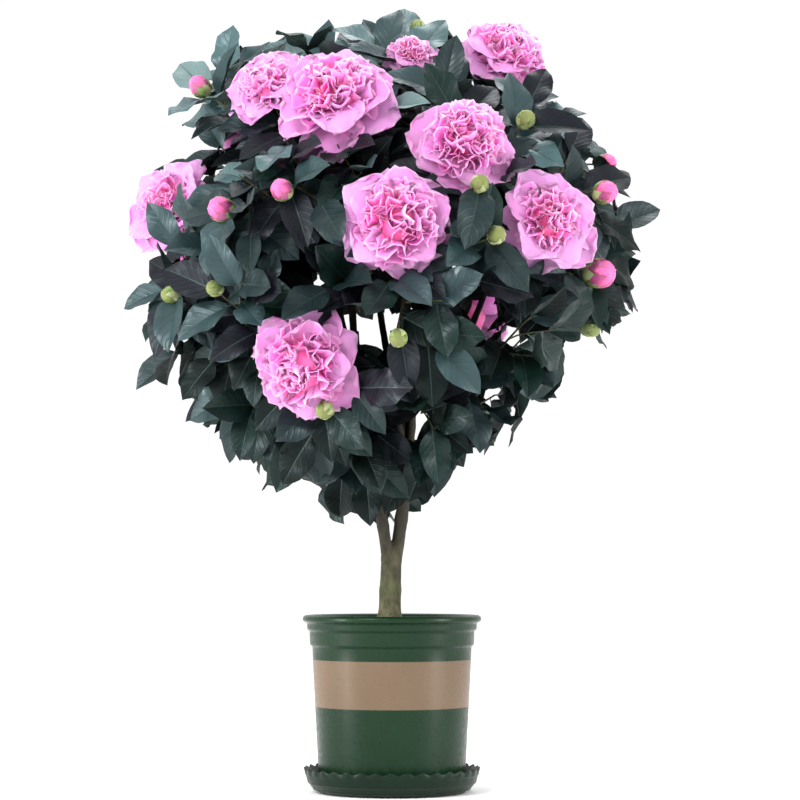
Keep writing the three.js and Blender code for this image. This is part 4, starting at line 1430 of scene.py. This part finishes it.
petal_finishes = {
    (part, tone): material
    for tone, materials in enumerate(PETAL_TONES)
    for part, material in enumerate(materials)
}
petal_recipe = standing_recipe("petals in their blooms", petal_shapes, petal_finishes)
for name, at_front in (("blooms_front", True), ("blooms_back", False)):
    bed = Bed()
    for number, end in enumerate(canopy.blooms):
        if (end.at[1] < 0) == at_front:
            petal_bed(bed, end, number)
    ride(grown(bed.object(name), petal_recipe), "petals")

# A bud this large, in mm, is about to open and shows its petals.
RIPE_RADIUS = 13
bud_finishes = {
    (BLADE, tone): material
    for tone, material in enumerate((BUD_GREEN, BUD_CREAM, BUD_OLIVE, BUD_ROSE, BUD_PINK))
}
bud_finishes.update({(RIM, None): BUD_TIP, (RIM, 3): BUD_BLUSH, (RIM, 4): BUD_BLUSH})
bud_finishes.update({(CORE, None): BUD_OLIVE, (RIPE_CORE, None): BUD_PINK})


def bud_bed(bed, end, draw):
    """One bud: a core in overlapping scales, with four petals over them if it is ripe."""
    ripe = end.radius >= RIPE_RADIUS
    facing = end.facing
    size = end.radius * 0.92
    bed.add(end.at, facing, beside(facing, 0), size, RIPE_BUD if ripe else GREEN_BUD)
    for k in range(4 if ripe else 0):
        face = beside(facing, k * 1.6 + draw())
        bed.add(end.at, facing, face, size * (0.99 + 0.012 * k), HIGH_SCALE, 3 + k % 2)
    for k in range(8):
        slip = facing * (0.03 * k - 0.24) * size if ripe else facing * -0.02 * k * size
        pattern = HIGH_SCALE if not ripe and k < 4 else LOW_SCALE
        large = size * (1.0 + 0.012 * k)
        bed.add(end.at + slip, facing, beside(facing, k * GOLDEN), large, pattern, int(draw() * 3))


bed = Bed()
for number, end in enumerate(canopy.buds):
    bud_bed(bed, end, chance(number + BUD_SEED))
for end in canopy.blooms:
    calyx = end.at - end.facing * 0.30 * end.radius
    for k in range(6):
        face = beside(end.facing, k * GOLDEN)
        bed.add(calyx, end.facing, face, end.radius * 0.16, LOW_SCALE, k % 2)
bud_recipe = standing_recipe("scales on their buds", bud_shapes, bud_finishes)
ride(grown(bed.object("buds"), bud_recipe), "buds")

# ---------------------------------------------------------------- pot, saucer, potting mix


def lathe(name, profile, segments, materials, kind=lambda z: 0, shift=None):
    """A turned piece from (radius, height) points in mm, closed at both ends on the axis."""
    points, faces, kinds, rings = [], [], [], []
    for radius, z in profile:
        ring = []
        for k in range(segments if radius else 1):
            turn = 2 * math.pi * k / segments
            r, h = shift(radius, z, turn) if shift and radius else (radius, z)
            ring.append(len(points))
            points.append((r * math.cos(turn) * MM, r * math.sin(turn) * MM, h * MM))
        rings.append(ring)
    for i, (one, two) in enumerate(zip(rings, rings[1:])):
        for k in range(segments):
            j = (k + 1) % segments
            sides = ((one, k), (one, j), (two, j), (two, k))
            faces.append(tuple(dict.fromkeys(ring[at % len(ring)] for ring, at in sides)))
            kinds.append(kind((profile[i][1] + profile[i + 1][1]) / 2))
    mesh = mesh_of(name, points, faces=faces)
    for material in materials:
        mesh.materials.append(material)
    mesh.polygons.foreach_set("material_index", kinds)
    mesh.shade_smooth()
    return new_object(name, mesh)


def rounded(profile, radius, steps):
    """A profile with its corners turned into small arcs."""
    out = [profile[0]]
    for before, corner, after in zip(profile, profile[1:], profile[2:]):
        b, c, a = (np.array(p, float) for p in (before, corner, after))
        reach = min(radius, np.linalg.norm(b - c) * 0.45, np.linalg.norm(a - c) * 0.45)
        arc = bezier(c + unit(b - c) * reach, c, c + unit(a - c) * reach)
        out.extend(tuple(arc(s)) for s in np.linspace(0, 1, steps))
    out.append(profile[-1])
    return list(dict.fromkeys(out))


def cut_at(profile, levels):
    """A profile with a point more wherever it climbs through a level."""
    out = []
    for one, two in zip(profile, profile[1:]):
        out.append(one)
        for level in levels:
            if one[1] < level < two[1]:
                share = (level - one[1]) / (two[1] - one[1])
                out.append(tuple(mix(np.array(one, float), np.array(two, float), share)))
    return [*out, profile[-1]]


POT_PROFILE = [
    (0, 4), (87.5, 4), (90.5, 9), (95.6, 106), (98.4, 164), (99, 180), (102, 182), (102.6, 199),
    (105.5, 201), (105.9, 209), (111, 211.5), (111, 216.5), (107, 219), (99.4, 216), (96.4, 180),
    (88, 6.6), (0, 6.6),
]
BAND_LOW, BAND_HIGH = 106, 164
POT_SIDES, SAUCER_SIDES, SOIL_SIDES = 192, 288, 72
pot = lathe(
    "pot_shell",
    cut_at(rounded(POT_PROFILE, 1.6, 4), (BAND_LOW, BAND_HIGH)),
    POT_SIDES,
    [POT_GREEN, POT_BAND],
    kind=lambda z: int(BAND_LOW < z < BAND_HIGH),
)
ride(pot, "pot", "pot")

SAUCER_SCALLOPS = 36
SAUCER_PROFILE = [
    (0, 0), (40, 0), (41, 1.2), (84, 1.2), (85, 0), (90, 0), (93.6, 2.6), (95.6, 3.2), (97.6, 6.2),
    (99.6, 6.9), (103.0, 11.4), (104.6, 12.2), (106.9, 21.5), (107.9, 22.3), (109, 30),
    (106.6, 30), (98, 4), (86, 4), (85, 3.4), (0, 3.4),
]


def scalloped(radius, z, turn):
    """The saucer's wall waves in and out, and its rim up and down."""
    wave = math.cos(turn * SAUCER_SCALLOPS)
    share = clamp((z - 14) / 16, 0, 1)
    return radius + 0.9 * wave * share**2, z + 1.5 * wave * share**3


dish = rounded(SAUCER_PROFILE, 1.0, 3)
saucer = lathe("saucer_dish", dish, SAUCER_SIDES, [SAUCER_GREEN], shift=scalloped)
ride(saucer, "saucer", "saucer")

# The bed of potting mix: heaped a little round the trunk, and uneven above its edge.
SOIL_EDGE_Z = 200.5
SOIL_PROFILE = [(0, 6.6), (87.6, 6.6), (96.1, 180), (96.1, SOIL_EDGE_Z)]
for radius in np.linspace(96.0, 20.0, 20):
    SOIL_PROFILE.append((radius, mix(SOIL_Z, 201, clamp((radius - 31) / 65, 0, 1))))
SOIL_PROFILE.append((0, SOIL_Z))


def uneven(radius, z, turn):
    if z <= SOIL_EDGE_Z:
        return radius, z
    lumps = math.sin(turn * 5 + radius * 0.23) + math.sin(turn * 11 - radius * 0.41)
    return radius, z + 0.7 * lumps - 0.4


# (width, length, height, material)
CRUMBS = [
    (1.0, 1.9, 0.5, CRUMB_DARK), (0.8, 1.4, 0.6, CRUMB_TAN), (1.1, 1.2, 0.8, CRUMB_DARK),
    (0.7, 0.7, 0.7, CRUMB_PALE), (1.2, 2.4, 0.4, CRUMB_TAN),
]
for number, (wide, long, tall, material) in enumerate(CRUMBS):
    draw = chance(number + CRUMB_SEED)
    bm = bmesh.new()
    bmesh.ops.create_icosphere(bm, subdivisions=1, radius=1.0)
    for v in bm.verts:
        v.co *= 0.8 + 0.4 * draw()
        v.co.x *= wide
        v.co.y *= long
        v.co.z *= tall
    mesh = built(f"crumb_{number}", bm)
    mesh.materials.append(material)
    new_object(mesh.name, mesh, crumb_shapes)


def crumb_recipe(name, above):
    """Crumbs of bark and perlite strewn over the faces that look up, above a height."""
    made = Recipe(
        name,
        Crumbs=("Collection", crumb_shapes),
        Density=("Float", 26000.0),
        Smallest=("Float", 0.0011),
        Largest=("Float", 0.0036),
        Seed=("Int", 5),
    )
    given = made.given

    def drawn(kind, low, high):
        """Chance between two values. Each kind of value has its own sockets on the node."""
        k = ("FLOAT_VECTOR", "FLOAT", "INT").index(kind)
        wires = {2 * k: low, 2 * k + 1: high, "Seed": given["Seed"]}
        return made.add("FunctionNodeRandomValue", wires, k, data_type=kind)

    flat = made.math("GREATER_THAN", made.height_of(made.add("GeometryNodeInputNormal")), 0.5)
    place = made.height_of(made.add("GeometryNodeInputPosition"))
    both = made.math("MULTIPLY", flat, made.math("GREATER_THAN", place, above))
    wires = {"Mesh": given["Geometry"], "Selection": both}
    wires.update(Density=given["Density"], Seed=given["Seed"])
    spots = made.add("GeometryNodeDistributePointsOnFaces", wires)
    turn = drawn("FLOAT_VECTOR", (0, 0, 0), (6.2, 6.2, 6.2))
    size = drawn("FLOAT", given["Smallest"], given["Largest"])
    which = drawn("INT", 0, len(CRUMBS) - 1)
    strewn = made.copies(spots, given["Crumbs"], which, turn, size)
    joined = made.add("GeometryNodeJoinGeometry", {0: strewn})
    made.tree.links.new(given["Geometry"], joined.node.inputs[0])
    return made.end(joined)


soil = lathe("potting_mix", SOIL_PROFILE, SOIL_SIDES, [MIX], shift=uneven)
soil = grown(soil, crumb_recipe("crumbs on the mix", 0.19))
ride(soil, "potting_mix", "soil")

# ---------------------------------------------------------------- studio

corners = [(-6, -6, 0), (6, -6, 0), (6, 6, 0), (-6, 6, 0)]
floor = new_object("floor", mesh_of("floor", corners, faces=[(0, 1, 2, 3)]))
ground = Finish("floor_paint", (251, 251, 251), 0.9, Specular_IOR_Level=0.1)
cloudy = ground.between(ground.noise(3.0), 0, 1)
ground.feed(Base_Color=ground.blend(cloudy, (250, 250, 250), (252, 252, 252)))
floor.data.materials.append(ground.material)


def soft_light(name, place, target_height, size, watts, tall=None):
    """A soft box that looks at the upright axis: round, or a strip as tall as it is told."""
    lamp = bpy.data.lights.new(name, "AREA")
    lamp.shape = "RECTANGLE" if tall else "DISK"
    lamp.size, lamp.size_y, lamp.energy = size, tall or size, watts
    obj = new_object(name, lamp)
    obj.location = place
    x, y, z = np.array((0, 0, target_height)) - place
    obj.rotation_euler = (math.atan2(math.hypot(x, y), -z), 0, math.atan2(-x, y))


soft_light("key_light", (-1.6, -2.6, 2.3), 0.6, 1.6, 95)
soft_light("fill_light", (2.4, -1.8, 1.4), 0.55, 1.6, 14)
soft_light("top_light", (0.3, 0.6, 2.9), 0.6, 1.8, 50)
soft_light("left_strip", (-2.2, -0.9, 0.45), 0.2, 0.4, 46, 1.0)
soft_light("right_strip", (2.1, -0.9, 0.45), 0.2, 0.35, 34, 1.0)

world = bpy.data.worlds.new("studio")
world.use_nodes = True
backdrop = world.node_tree.nodes["Background"]
backdrop.inputs["Color"].default_value = (1, 1, 1, 1)
backdrop.inputs["Strength"].default_value = 1.05
bpy.context.scene.world = world

eye = bpy.data.cameras.new("front_camera")
eye.lens, eye.sensor_width = 115.2, 36
eye.clip_start, eye.clip_end = 0.1, 60
camera = new_object("front_camera", eye)
camera.location = (0.010, -3.2, 0.283)
camera.rotation_euler = (math.radians(90 + 3.65), 0, 0)
bpy.context.scene.camera = camera
bpy.context.scene.view_settings.view_transform = "Standard"
